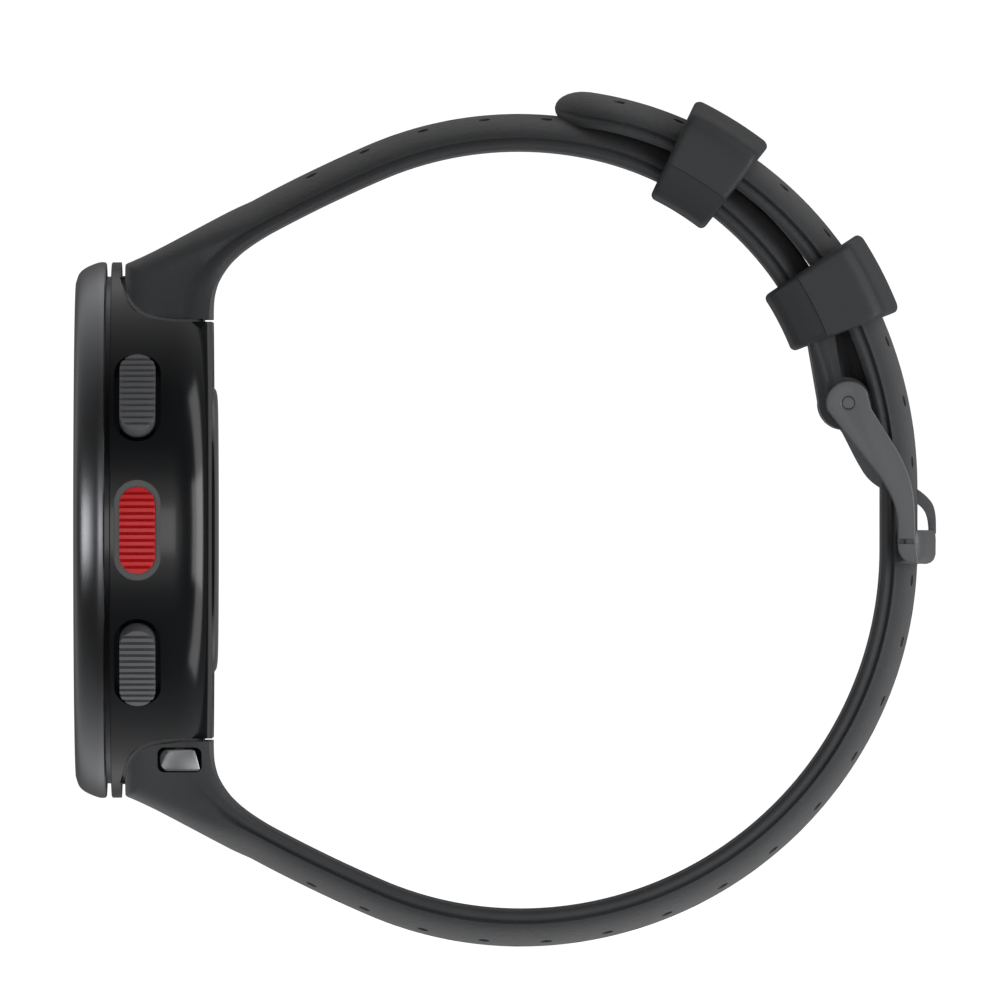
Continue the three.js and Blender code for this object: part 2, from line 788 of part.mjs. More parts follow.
// The sliding tip of a spring bar with the thumb lever on its outer end.
function releaseLever() {
  const knobInner = pocketInner + leverTravel + 0.2;
  const knobOuter = strapEndHalfWidth - 0.75;
  const [front, back] = [barCentre.y - leverLength / 2, barCentre.y + leverLength / 2];
  const [low, high] = [barCentre.z - leverHeight / 2 + 0.25, barCentre.z + leverHeight / 2];
  const knob = sideCut([
    [front + 0.6, low], [back - 0.3, low], [back, low + 0.3],
    [back - 0.45, high], [front + 0.6, high], [front, high - 0.6], [front, low + 0.6],
  ], knobInner, knobOuter);
  return knob.add(rodAlongX(barTipRadius, 2.5, knobInner + 0.3, barCentre, 12));
}

// ---- Strap halves -------------------------------------------------------

const section = strapSection(strapHalfWidth);
const pinStation = shortRoute.length;
const pin = shortRoute.lifted(pinStation, pinLift);

function shortHalf() {
  const band = shortRoute.sweep(section, 1.5, pinStation - 0.3, 24);
  const boss = shortRoute.lifted(pinStation, pinLift - bossDrop);
  const ends = rodAlongX(bossRadius, -strapHalfWidth + 0.3, strapHalfWidth - 0.3, boss, 24);
  const slotHalf = tongueHalfWidth + 0.4;
  const slot = shortRoute.sweep(shapeFrom([
    [-slotHalf, -3], [slotHalf, -3], [slotHalf, 6], [-slotHalf, 6],
  ]), pinStation - 2.2, pinStation + 4, 2);
  const bore = rodAlongX(pinRadius + pinClearance, -strapHalfWidth - 2, strapHalfWidth + 2, pin, 24);
  return mirroredInX(strapEnd()).add(band).add(ends).subtract(slot).subtract(bore);
}

function adjustmentHole(station) {
  const geometry = new THREE.BoxGeometry(holeWidth, 3 * strapThickness, holeLength);
  return toSolid(geometry.applyMatrix4(longRoute.frame(station, strapThickness / 2)));
}

// What is cut away to leave the tail's rounded tip.
function tipWaste() {
  const shape = new THREE.Shape();
  shape.moveTo(-strapHalfWidth, 0);
  shape.lineTo(-strapHalfWidth - 2, 0);
  shape.lineTo(-strapHalfWidth - 2, tipRoundness + 2);
  shape.lineTo(strapHalfWidth + 2, tipRoundness + 2);
  shape.lineTo(strapHalfWidth + 2, 0);
  shape.lineTo(strapHalfWidth, 0);
  shape.absellipse(0, 0, strapHalfWidth, tipRoundness, 0, Math.PI, false);
  const geometry = plate(shape, 12, 7);
  geometry.translate(0, 0, -6);
  const across = new THREE.Matrix4().makeBasis(alongX, alongZ, alongY.clone().negate());
  geometry.applyMatrix4(across);
  return toSolid(geometry.applyMatrix4(longRoute.frame(longRoute.length - tipRoundness, strapThickness / 2)));
}

function longHalf() {
  let band = longRoute.sweep(section, 1.5, longRoute.length, 40);
  for (let step = -holesBelow; step <= holesAbove; step += 1) {
    band = band.subtract(adjustmentHole(tongueStation + step * holePitch));
  }
  return mirroredInZ(strapEnd()).add(band.subtract(tipWaste()));
}

// ---- Keepers ------------------------------------------------------------

function keeper(name) {
  const station = keeperStations[name];
  const start = (station - (shortRoute.length - pinRunLength())) / shortEndBend.radius;
  const angle = 90 + THREE.MathUtils.radToDeg(shortEndStart.heading - start);
  const halfAngle = THREE.MathUtils.radToDeg(keeperWidth / 2 / shortEndBend.radius);
  const lowest = angle - halfAngle + keeperTravelDegrees[name][0];
  const inside = tailLift(lowest) + strapThickness + keeperPlay;
  return shortRoute.sweep(keeperSection(inside), station - keeperWidth / 2, station + keeperWidth / 2, 3);
}

function pinRunLength() {
  return shortEndBend.radius * THREE.MathUtils.degToRad(shortEndBend.degrees);
}

function keeperSection(inside) {
  const innerHalf = strapHalfWidth + gap;
  const outerHalf = innerHalf + keeperSideWall;
  const bottom = -gap - keeperWall;
  const top = inside + keeperWall;
  const crease = bottom + keeperCrease;
  const shape = new THREE.Shape();
  shape.moveTo(-outerHalf + 1.4, bottom);
  shape.lineTo(outerHalf - 1.4, bottom);
  shape.lineTo(outerHalf - 0.4, bottom + 0.6);
  shape.lineTo(outerHalf, crease);
  shape.lineTo(outerHalf - 0.15, top - 2.6);
  shape.quadraticCurveTo(outerHalf - 0.3, top - 1.1, outerHalf - 2, top - 0.75);
  shape.quadraticCurveTo(0, top + 0.75, 2 - outerHalf, top - 0.75);
  shape.quadraticCurveTo(0.3 - outerHalf, top - 1.1, 0.15 - outerHalf, top - 2.6);
  shape.lineTo(-outerHalf, crease);
  shape.lineTo(-outerHalf + 0.4, bottom + 0.6);
  const hole = new THREE.Path();
  hole.moveTo(-innerHalf, -gap);
  hole.lineTo(innerHalf, -gap);
  hole.lineTo(innerHalf, inside - 1.8);
  hole.quadraticCurveTo(innerHalf - 0.2, inside - 0.9, innerHalf - 1.3, inside - 0.7);
  hole.quadraticCurveTo(0, inside + 0.7, 1.3 - innerHalf, inside - 0.7);
  hole.quadraticCurveTo(0.2 - innerHalf, inside - 0.9, -innerHalf, inside - 1.8);
  shape.holes.push(hole);
  return shape;
}

// ---- Buckle -------------------------------------------------------------

const armInner = strapHalfWidth + armClearance;
const armOuter = armInner + armThickness;

// A point of the buckle, by its run from the tail's tongue hole and its lift off the tail's wrist side.
function overTail(run, lift) {
  const { y, z } = longRoute.lifted(tongueStation + run, lift);
  return [y, z];
}

// The same, by its rise over the tail's outer face.
function overDome(run, rise) {
  return overTail(run, strapThickness + rise);
}

function buckleArm(low, high) {
  const outline = [
    overTail(1.5, -0.1), overTail(-0.27, 0.89), overTail(-2.1, 1.4), overTail(-4.9, 1.48),
    overTail(-5.5, 2.08), overDome(-5.8, -0.25), overDome(-5.8, 0.7), overDome(-3.6, 0.7),
    overDome(-3.3, -0.28), overTail(-0.77, 2.83), overTail(0.8, 2.57), overTail(2.2, 2.11),
    overTail(3.6, 1.5), overTail(5.3, 0.65), overTail(7.2, -0.12),
  ];
  const end = rodAlongX(armEndRadius, low, high, pin, 28);
  const bore = rodAlongX(pinRadius + pinClearance, low - 1, high + 1, pin, 24);
  const heel = [pin.y - armEndRadius * 0.98, pin.z - 0.3];
  return sideCut([heel, ...outline, [pin.y, pin.z + armEndRadius * 0.9]], low, high).add(end).subtract(bore);
}

// The buckle frame: two arms joined by a bar that is arched over the tail's dome.
function buckleFrame() {
  const low = strapThickness + gap;
  const high = low + frameBarThickness;
  const foot = low - frameBarArch;
  const shoulder = foot + frameBarShoulder;
  const shape = new THREE.Shape();
  shape.moveTo(-armOuter, foot);
  shape.lineTo(-armInner, foot);
  shape.quadraticCurveTo(0, 2 * low - foot, armInner, foot);
  shape.lineTo(armOuter, foot);
  shape.lineTo(armOuter, shoulder);
  shape.quadraticCurveTo(armInner - 0.5, high - 0.6, armInner - 3, high - 0.35);
  shape.quadraticCurveTo(0, high + 0.35, 3 - armInner, high - 0.35);
  shape.quadraticCurveTo(0.5 - armInner, high - 0.6, -armOuter, shoulder);
  const start = barStation - frameBarLength / 2;
  const bar = longRoute.sweep(shape, start, start + frameBarLength, 3);
  const notchHalf = tongueHalfWidth + 0.4;
  const notch = longRoute.sweep(shapeFrom([
    [-notchHalf, 0], [notchHalf, 0], [notchHalf, 9], [-notchHalf, 9],
  ]), start + frameBarLength - notchDepth, start + frameBarLength + 2, 2);
  return bar.subtract(notch).add(buckleArm(-armOuter, -armInner)).add(buckleArm(armInner, armOuter));
}

// The tongue: an eye on the pin, a shank under the tail and a hook through its hole.
function buckleTongue() {
  const edge = new THREE.SplineCurve([
    [pin.y - 1.45, pin.z - 0.4], overTail(5.0, -2.6), overTail(2.7, -1.75), overTail(1.2, -0.85),
    overTail(0.2, 0.6),
    overDome(-0.55, -0.6), overDome(-1.15, 0.52), overDome(-2.0, 0.85), overDome(-2.9, 1.0),
  ].map(([y, z]) => new THREE.Vector2(y, z))).getPoints(12);
  const back = new THREE.SplineCurve([
    overDome(-2.9, 1.65), overDome(-1.7, 1.6), overDome(-0.6, 1.15), overDome(0.45, -0.1),
    overTail(1.05, 1.6), overTail(1.7, 0.45), overTail(3.4, -0.55), overTail(6.2, -0.95),
  ].map(([y, z]) => new THREE.Vector2(y, z))).getPoints(12);
  const side = new THREE.Shape([...edge, ...back, new THREE.Vector2(pin.y, pin.z)]);
  const shank = sideCut(side, -tongueHalfWidth, tongueHalfWidth);
  const eye = rodAlongX(pinRadius + pinClearance + 0.7, -tongueHalfWidth, tongueHalfWidth, pin, 24);
  const bore = rodAlongX(pinRadius + pinClearance, -2 * tongueHalfWidth, 2 * tongueHalfWidth, pin, 24);
  return shank.add(eye).subtract(bore);
}

// ---- Finishes and the assembly ------------------------------------------

function finish(color, roughness, metalness) {
  return new THREE.MeshStandardMaterial({ color, roughness, metalness });
}

const anodised = finish('#3c3d40', 0.35, 0.9);
const casePlastic = finish('#1b1c1e', 0.3, 0);
const greyButton = finish('#58595b', 0.5, 0);
const redButton = finish('#c8242b', 0.4, 0);
const silicone = finish('#2b2c2e', 0.75, 0);
const keeperSilicone = finish('#323335', 0.7, 0);
const buckleMetal = finish('#5a5b5d', 0.4, 0.8);
const steel = finish('#a9abae', 0.25, 1);
const glass = finish('#0a0b0d', 0.05, 0);
const windowGlass = finish('#141517', 0.08, 0);
const gold = finish('#c9a24a', 0.3, 1);
const rubber = finish('#1a1a1a', 0.9, 0);
const circuitGreen = finish('#1e4a33', 0.6, 0);
const displayBlack = finish('#121315', 0.2, 0);
const batteryFoil = finish('#8b8e92', 0.45, 0.6);
const copper = finish('#b4714a', 0.4, 0.9);
const chipBlack = finish('#202124', 0.6, 0);

const group = new THREE.Group();

function place(name, solid, material) {
  const mesh = new THREE.Mesh(toGeometry(solid), material);
  mesh.name = name;
  group.add(mesh);
}

place('bezel', bezel, anodised);
place('display_lens', lens, glass);
place('display_module', display, displayBlack);
place('gnss_antenna', antenna, copper);
place('case_middle', caseMiddle, casePlastic);
place('case_cover', caseCover, casePlastic);
place('cover_seal', backSeal, rubber);
place('sensor_window', sensorWindow, windowGlass);
place('sensor_board', sensorBoard(), circuitGreen);
screwPlaces.forEach((at, i) => place(`cover_screw_${i + 1}`, caseScrew(at), steel));
contactPlaces.forEach((at, i) => place(`charging_contact_${i + 1}`, chargingContact(at), gold));
place('main_board', mainBoard, circuitGreen);
place('processor_chip', processor, chipBlack);
place('radio_shield', radioShield, steel);
place('vibration_motor', motor, steel);
place('battery', batteryBlock(), batteryFoil);

for (const { name, angle } of buttons) {
  place(`${name}_button`, buttonCap(angle), name === 'start' ? redButton : greyButton);
  place(`${name}_button_seal`, stemSeal(angle), rubber);
  place(`${name}_switch`, tactSwitch(angle), chipBlack);
}

place('spring_bar_lower', mirroredInZ(springBar()), steel);
place('release_lever_lower', mirroredInZ(releaseLever()), steel);
place('spring_bar_upper', mirroredInX(springBar()), steel);
place('release_lever_upper', mirroredInX(releaseLever()), steel);
place('strap_short_half', shortHalf(), silicone);
place('strap_long_half', longHalf(), silicone);
for (const name of Object.keys(keeperStations)) place(name, keeper(name), keeperSilicone);
place('buckle_frame', buckleFrame(), buckleMetal);
place('buckle_tongue', buckleTongue(), buckleMetal);
place('buckle_pin', rodAlongX(pinRadius, -armOuter, armOuter, pin, 24), steel);

export default group;
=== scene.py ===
# GPS running watch with its silicone strap buckled into a loop.
# Pieces are modelled in millimetres in the frame's axes (+Z to 12 o'clock, display facing -Y)
# and scaled to metres when they are finished.
import json
import math

import bpy
from mathutils import Matrix, Vector


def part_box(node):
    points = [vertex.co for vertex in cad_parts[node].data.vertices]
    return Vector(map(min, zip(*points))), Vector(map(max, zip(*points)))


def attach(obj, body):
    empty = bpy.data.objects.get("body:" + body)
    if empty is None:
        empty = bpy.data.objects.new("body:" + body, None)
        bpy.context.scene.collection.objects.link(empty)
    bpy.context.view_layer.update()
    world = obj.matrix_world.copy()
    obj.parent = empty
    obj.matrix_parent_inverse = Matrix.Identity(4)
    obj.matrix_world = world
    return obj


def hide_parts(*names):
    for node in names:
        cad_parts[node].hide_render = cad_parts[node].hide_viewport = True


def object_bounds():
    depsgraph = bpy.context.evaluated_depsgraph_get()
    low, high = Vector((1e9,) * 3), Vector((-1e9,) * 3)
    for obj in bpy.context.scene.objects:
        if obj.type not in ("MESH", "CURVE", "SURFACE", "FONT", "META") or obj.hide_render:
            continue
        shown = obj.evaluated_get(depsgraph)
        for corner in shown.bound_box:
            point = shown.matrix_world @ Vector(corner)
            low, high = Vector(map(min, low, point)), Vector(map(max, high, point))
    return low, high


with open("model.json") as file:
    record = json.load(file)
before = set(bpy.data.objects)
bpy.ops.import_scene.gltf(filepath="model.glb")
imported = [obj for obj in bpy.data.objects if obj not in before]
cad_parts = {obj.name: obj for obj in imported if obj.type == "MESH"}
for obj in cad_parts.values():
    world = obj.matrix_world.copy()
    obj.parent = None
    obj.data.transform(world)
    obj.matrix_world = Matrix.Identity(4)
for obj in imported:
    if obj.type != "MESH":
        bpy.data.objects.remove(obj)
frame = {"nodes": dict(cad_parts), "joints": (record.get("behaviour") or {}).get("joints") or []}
cad_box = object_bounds()
MM = 0.001

# ---- Studio -------------------------------------------------------------
# A pale floor under the loop and a white surround, which is dimmer around the camera. Soft
# boxes: one in front of the 3 o'clock side, one beside the bezel and two beside the strap.

VIEW_CENTRE = Vector((0, 0.0237, 0.00252))
VIEW_DISTANCE = 3.034
VIEW_WIDTH = 0.08403
SENSOR = 36
FLOOR_SIZE = 1.6

scene = bpy.context.scene
scene.view_settings.view_transform = "Standard"

camera = bpy.data.objects.new("camera", bpy.data.cameras.new("camera"))
camera.location = VIEW_CENTRE + Vector((VIEW_DISTANCE, 0, 0))
camera.rotation_euler = (math.radians(90), 0, math.radians(90))
camera.data.sensor_width = SENSOR
camera.data.lens = SENSOR * VIEW_DISTANCE / VIEW_WIDTH
scene.collection.objects.link(camera)
scene.camera = camera


def soft_box(name, place, target, width, height, power):
    """An area light of that width and height in metres, turned to its target."""
    lamp = bpy.data.objects.new(name, bpy.data.lights.new(name, "AREA"))
    lamp.data.shape = "RECTANGLE"
    lamp.data.size, lamp.data.size_y, lamp.data.energy = width, height, power
    lamp.location = place
    lamp.rotation_euler = (Vector(target) - Vector(place)).to_track_quat("-Z", "Y").to_euler()
    scene.collection.objects.link(lamp)


# The front box is weak, so that the gloss case stays dark. The tall box gives the strap and
# the case's rear edge one long highlight.
soft_box("front_box", (0.9, 0, 0), (0, 0.02, 0), 0.3, 0.3, 0.35)
soft_box("bezel_box", (0.52, -0.72, 0), (0, 0, 0), 0.34, 0.34, 1.1)
soft_box("strap_box", (0.5, 0.74, 0), (0, 0.03, 0), 0.5, 0.6, 2.6)
soft_box("tall_box", (0.42, 0.8, 0), (0, 0.03, 0), 0.4, 2.4, 6.0)


def add_node(owner, kind, options=None, values=None, links=None):
    """Adds a shader node to a material or world, with its options, input values and input links."""
    made = owner.node_tree.nodes.new(kind)
    for name, value in (options or {}).items():
        setattr(made, name, value)
    for name, value in (values or {}).items():
        made.inputs[name].default_value = value
    for name, source in (links or {}).items():
        owner.node_tree.links.new(source, made.inputs[name])
    return made


def set_stops(ramp, stops):
    """Sets the stops of a colour ramp, from (position, colour) pairs that start at 0 and end at 1."""
    ramp.elements[0].color, ramp.elements[-1].color = stops[0][1], stops[-1][1]
    for position, colour in stops[1:-1]:
        ramp.elements.new(position).color = colour


# How bright the surround is in a reflection, from behind the loop (0) round to the camera (1),
# and from the bezel's side (0) round to the buckle's (1).
FORWARD_LEVELS = ((0, 0.12), (0.06, 0.2), (0.14, 0.65), (0.2, 0.85), (0.42, 0.45), (0.55, 0.25),
                  (0.72, 0.07), (0.9, 0.05), (0.95, 0.2), (1, 1))
BESIDE_LEVELS = ((0, 0.3), (0.3, 0.75), (0.5, 0.95), (0.75, 0.9), (0.95, 0.35), (1, 0.3))

world = bpy.data.worlds.new("white_surround")
world.use_nodes = True
world.node_tree.nodes.clear()
scene.world = world
toward = add_node(world, "ShaderNodeTexCoord")
sides = add_node(world, "ShaderNodeSeparateXYZ", links={0: toward.outputs["Generated"]})
forward = add_node(world, "ShaderNodeMapRange", None, {"From Min": -1.0}, {"Value": sides.outputs["X"]})
surround = add_node(world, "ShaderNodeValToRGB", links={0: forward.outputs[0]})
set_stops(surround.color_ramp, [(position, (level, level, level, 1)) for position, level in FORWARD_LEVELS])
sideways = add_node(world, "ShaderNodeMapRange", None, {"From Min": -1.0}, {"Value": sides.outputs["Y"]})
beside = add_node(world, "ShaderNodeValToRGB", links={0: sideways.outputs[0]})
set_stops(beside.color_ramp, [(position, (level, level, level, 1)) for position, level in BESIDE_LEVELS])
room = add_node(world, "ShaderNodeBackground", links={
    "Color": surround.outputs[0], "Strength": beside.outputs[0]})
paper = add_node(world, "ShaderNodeBackground", values={"Color": (1, 1, 1, 1), "Strength": 1.05})
ray = add_node(world, "ShaderNodeLightPath")
seen = add_node(world, "ShaderNodeMixShader", links={
    0: ray.outputs["Is Camera Ray"], 1: room.outputs[0], 2: paper.outputs[0]})
add_node(world, "ShaderNodeOutputWorld", links={"Surface": seen.outputs[0]})


def linear(code):
    """An sRGB hex colour as linear red, green, blue and alpha."""
    parts = [int(code[i:i + 2], 16) / 255 for i in (1, 3, 5)]
    return (*[p / 12.92 if p <= 0.04045 else ((p + 0.055) / 1.055) ** 2.4 for p in parts], 1)


def new_finish(name, colour, roughness, metallic=0.0, ior=1.5, **more):
    """A material with only its Principled shader set. Returns it with its shader."""
    finish = bpy.data.materials.new(name)
    finish.use_nodes = True
    shader = finish.node_tree.nodes["Principled BSDF"]
    settings = {"Base Color": linear(colour), "Roughness": roughness, "Metallic": metallic, "IOR": ior}
    for setting, value in {**settings, **more}.items():
        shader.inputs[setting].default_value = value
    return finish, shader


def grain(finish, shader, size, depth, spread=0.0, kind="ShaderNodeTexNoise"):
    """Gives a finish a raised grain of that size and depth in millimetres, and a spread of roughness.
    Returns the node with its coordinates."""
    place = add_node(finish, "ShaderNodeTexCoord")
    texture = add_node(finish, kind, None, {"Scale": 1 / (size * MM)}, {"Vector": place.outputs["Object"]})
    height = texture.outputs[0]
    raised = add_node(finish, "ShaderNodeBump", values={"Distance": depth * MM}, links={"Height": height})
    finish.node_tree.links.new(raised.outputs[0], shader.inputs["Normal"])
    if spread:
        roughness = shader.inputs["Roughness"].default_value
        rub = add_node(finish, "ShaderNodeMapRange", values={
            "To Min": roughness - spread, "To Max": roughness + spread}, links={"Value": height})
        finish.node_tree.links.new(rub.outputs[0], shader.inputs["Roughness"])
    return place


def clear():
    """Leaves nothing selected, so that the next operator acts on its own piece only."""
    bpy.ops.object.select_all(action="DESELECT")


def pick(piece):
    """Selects one piece alone and makes it the active one."""
    clear()
    piece.select_set(True)
    bpy.context.view_layer.objects.active = piece


clear()
floor_paper, floor_shader = new_finish("matte white paper", "#8c8c8c", 0.9)
grain(floor_paper, floor_shader, 2.0, 0.01)
floor_shader.inputs["Emission Color"].default_value = (1, 1, 1, 1)
floor_shader.inputs["Emission Strength"].default_value = 1.0
bpy.ops.mesh.primitive_plane_add(size=FLOOR_SIZE, location=(0, VIEW_CENTRE.y, cad_box[0][2]))
floor = bpy.context.active_object
floor.name = "floor"
# The floor stays out of reflections, so that the bezel's two halves match.
floor.visible_glossy = False
floor.data.materials.append(floor_paper)

# ---- Bezel --------------------------------------------------------------
# The ring that holds the lens: aluminium, turned, bead-blasted and anodised dark grey.
# It is pressed over the case's upstand, which leaves a fine groove behind it.

TURN_STEPS = 160


def span(node):
    """The lowest and highest corners of a CAD node, in millimetres."""
    low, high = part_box(node)
    return low / MM, high / MM


def outline(name, corners, filled=False):
    """A closed outline through the corners: a circle primitive with each vertex put in its place."""
    clear()
    bpy.ops.mesh.primitive_circle_add(vertices=len(corners), fill_type="NGON" if filled else "NOTHING")
    piece = bpy.context.active_object
    piece.name = piece.data.name = name
    for vertex, corner in zip(piece.data.vertices, corners):
        vertex.co = corner
    return piece


def tidy_mesh(merge=0.002):
    """In edit mode: merges doubles, drops loose edges and turns the faces outwards."""
    bpy.ops.mesh.select_all(action="SELECT")
    bpy.ops.mesh.remove_doubles(threshold=merge)
    bpy.ops.mesh.delete_loose()
    bpy.ops.mesh.select_all(action="SELECT")
    bpy.ops.mesh.normals_make_consistent(inside=False)
    bpy.ops.object.mode_set(mode="OBJECT")


def turned(name, profile, steps=TURN_STEPS):
    """A ring or disc turned about the case axis, from (radius, depth) pairs."""
    piece = outline(name, [(radius, depth, 0) for radius, depth in profile])
    bpy.ops.object.mode_set(mode="EDIT")
    bpy.ops.mesh.select_all(action="SELECT")
    bpy.ops.mesh.spin(steps=steps, angle=math.tau, center=(0, 0, 0), axis=(0, 1, 0))
    tidy_mesh()
    return piece


def round_edges(piece, width, segments=3, angle=30):
    """Rounds every edge sharper than the angle with a Bevel modifier, applied."""
    pick(piece)
    bpy.ops.object.modifier_add(type="BEVEL")
    bevel = piece.modifiers[-1]
    bevel.width, bevel.segments, bevel.angle_limit = width, segments, math.radians(angle)
    bevel.use_clamp_overlap = True
    bpy.ops.object.modifier_apply(modifier=bevel.name)


def finished(piece, finish, smooth=35):
    """Shades a finished piece, scales it to metres and gives it its material."""
    pick(piece)
    piece.scale = (MM, MM, MM)
    bpy.ops.object.transform_apply(location=True, rotation=True, scale=True)
    bpy.ops.object.shade_smooth_by_angle(angle=math.radians(smooth))
    piece.data.materials.clear()
    piece.data.materials.append(finish)


def smooth_through(points, parts):
    """Points on a smooth curve through the given ones, with that many parts between each pair."""
    found = []
    for i in range(len(points) - 1):
        before, start, end, after = (
            Vector(points[min(max(j, 0), len(points) - 1)]) for j in range(i - 1, i + 3))
        for part in range(parts):
            t = part / parts
            place = 2 * start + (end - before) * t
            place += (2 * before - 5 * start + 4 * end - after) * t ** 2
            place += (3 * start - before - 3 * end + after) * t ** 3
            found.append(tuple(place / 2))
    return found + [tuple(Vector(points[-1]))]


bezel_low, bezel_high = span("bezel")
CASE_RADIUS = bezel_high.x
BEZEL_FRONT = bezel_low.y
BEZEL_BACK = BEZEL_FRONT + 2.6
BEZEL_WALL = 0.9
LENS_RADIUS = span("display_lens")[1].x
LENS_GAP = 0.3
LEDGE_WIDTH, LEDGE_THICKNESS = 0.7, 0.5

bezel_flank = smooth_through([
    (CASE_RADIUS, BEZEL_BACK - 0.12), (CASE_RADIUS, BEZEL_BACK - 0.57),
    (CASE_RADIUS - 0.23, BEZEL_BACK - 1.27), (CASE_RADIUS - 0.57, BEZEL_BACK - 1.92),
    (CASE_RADIUS - 1.0, BEZEL_BACK - 2.34), (CASE_RADIUS - 1.74, BEZEL_FRONT)], 4)
bezel = turned("bezel_ring", [
    (CASE_RADIUS - BEZEL_WALL, BEZEL_BACK), (CASE_RADIUS - 0.12, BEZEL_BACK), *bezel_flank,
    (LENS_RADIUS + LENS_GAP + 0.3, BEZEL_FRONT), (LENS_RADIUS + LENS_GAP, BEZEL_FRONT + 0.3),
    (LENS_RADIUS + LENS_GAP, bezel_high.y - LEDGE_THICKNESS),
    (LENS_RADIUS - LEDGE_WIDTH, bezel_high.y - LEDGE_THICKNESS),
    (LENS_RADIUS - LEDGE_WIDTH, bezel_high.y - 0.02), (CASE_RADIUS - BEZEL_WALL, bezel_high.y - 0.02)])

# Anodised aluminium, blasted with fine bead: the gloss spreads into a soft band, and the
# blasting shows as a faint grain about 0.08 mm wide.
anodised, anodised_shader = new_finish("anodised aluminium, bead-blasted", "#88898c", 0.3, metallic=1.0)
grain(anodised, anodised_shader, 0.08, 0.0012, spread=0.04)
finished(bezel, anodised)
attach(bezel, "watch")
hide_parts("bezel")

# ---- Lens and display ---------------------------------------------------
# A disc of mineral glass with a black printed border, glued into the bezel's ledge.
# Under it lies a reflective display panel, which shows a plain dial.

lens_low, lens_high = span("display_lens")
PRINT_INNER, PRINT_BLUR = 16.6, 0.02
LENS_BEVEL = 0.25

lens = turned("lens_disc", [
    (0, lens_low.y), (LENS_RADIUS - LENS_BEVEL, lens_low.y), (LENS_RADIUS, lens_low.y + LENS_BEVEL),
    (LENS_RADIUS, lens_high.y), (0, lens_high.y)])


def from_axis(finish):
    """Adds the nodes that measure how far a point lies from the case axis, and returns the last one."""
    place = add_node(finish, "ShaderNodeTexCoord")
    flat = add_node(finish, "ShaderNodeVectorMath", {"operation": "MULTIPLY"}, {1: (1, 0, 1)},
                    {0: place.outputs["Object"]})
    return add_node(finish, "ShaderNodeVectorMath", {"operation": "LENGTH"}, links={0: flat.outputs[0]})


# Mineral glass, polished: clear over the display, with the border printed black behind it.
lens_glass, lens_shader = new_finish("mineral glass with black border print", "#ffffff", 0.02, ior=1.52)
printed = add_node(lens_glass, "ShaderNodeMapRange", None, {
    "From Min": (PRINT_INNER - PRINT_BLUR) * MM, "From Max": (PRINT_INNER + PRINT_BLUR) * MM},
                   {"Value": from_axis(lens_glass).outputs["Value"]})
inked = add_node(lens_glass, "ShaderNodeMix", {"data_type": "RGBA"}, {
    6: linear("#ffffff"), 7: linear("#050506")}, {0: printed.outputs[0]})
window = add_node(lens_glass, "ShaderNodeMath", {"operation": "SUBTRACT"}, {0: 1.0}, {1: printed.outputs[0]})
lens_glass.node_tree.links.new(inked.outputs[2], lens_shader.inputs["Base Color"])
lens_glass.node_tree.links.new(window.outputs[0], lens_shader.inputs["Transmission Weight"])
finished(lens, lens_glass)
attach(lens, "watch")
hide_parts("display_lens")

# The panel is a laminate with a faint grid of cells, which gives it a grey-green silk look.
# The real cells, about 0.1 mm wide, are too fine to show, so they are drawn 0.88 mm wide.
CELL_PITCH = 0.8796
WAVE_LENGTH = math.tau / 20
panel, panel_shader = new_finish("reflective display laminate", "#2a2e2c", 0.35)
place = add_node(panel, "ShaderNodeTexCoord")
columns, rows = [add_node(panel, "ShaderNodeTexWave", {"bands_direction": bands},
                          {"Scale": WAVE_LENGTH / (CELL_PITCH * MM)}, {"Vector": place.outputs["Object"]})
                 for bands in ("X", "Z")]
grid = add_node(panel, "ShaderNodeMath", {"operation": "MULTIPLY"},
                links={0: columns.outputs[1], 1: rows.outputs[1]})
cells = add_node(panel, "ShaderNodeMix", {"data_type": "RGBA"}, {6: linear("#232826"), 7: linear("#2d322f")},
                 {0: grid.outputs[0]})
panel.node_tree.links.new(cells.outputs[2], panel_shader.inputs["Base Color"])
frame["nodes"]["display_module"].data.materials.clear()
frame["nodes"]["display_module"].data.materials.append(panel)

# The dial that the display shows: sixty ticks, four numerals and two hands.
DIAL_FACE = span("display_module")[0].y
MARK_LIFT = 0.03
TICK_RADIUS, NUMERAL_RADIUS = 15.4, 11.6
NUMERAL_HEIGHT = 4.2
dial_parts = []


def bar_on_dial(length, width, reach, angle):
    """A thin bar on the dial's face, its middle that far from the centre, at an angle from 12 o'clock."""
    clear()
    bpy.ops.mesh.primitive_cube_add(size=1, location=(0, DIAL_FACE - MARK_LIFT, reach))
    bar = bpy.context.active_object
    bar.scale = (width, 0.04, length)
    bpy.ops.object.transform_apply(location=True, rotation=True, scale=True)
    bar.data.transform(Matrix.Rotation(angle, 4, "Y"))
    dial_parts.append(bar)


for minute in range(60):
    long_tick = minute % 5 == 0
    bar_on_dial(1.6 if long_tick else 0.7, 0.34 if long_tick else 0.14, TICK_RADIUS, math.tau * minute / 60)
for length, width, reach, turn in ((8.0, 0.8, 3.4, 10.15 / 12), (12.0, 0.55, 5.2, 9 / 60)):
    bar_on_dial(length, width, reach, math.tau * turn)
for numeral in (12, 3, 6, 9):
    clear()
    bpy.ops.object.text_add(rotation=(math.radians(90), 0, 0))
    figure = bpy.context.active_object
    figure.data.body = str(numeral)
    figure.data.size, figure.data.extrude = NUMERAL_HEIGHT, 0.02
    figure.data.align_x, figure.data.align_y = "CENTER", "CENTER"
    turn = math.tau * numeral / 12
    figure.location = (
        NUMERAL_RADIUS * math.sin(turn), DIAL_FACE - MARK_LIFT, NUMERAL_RADIUS * math.cos(turn))
    bpy.ops.object.convert(target="MESH")
    bpy.ops.object.transform_apply(location=True, rotation=True, scale=True)
    dial_parts.append(bpy.context.active_object)


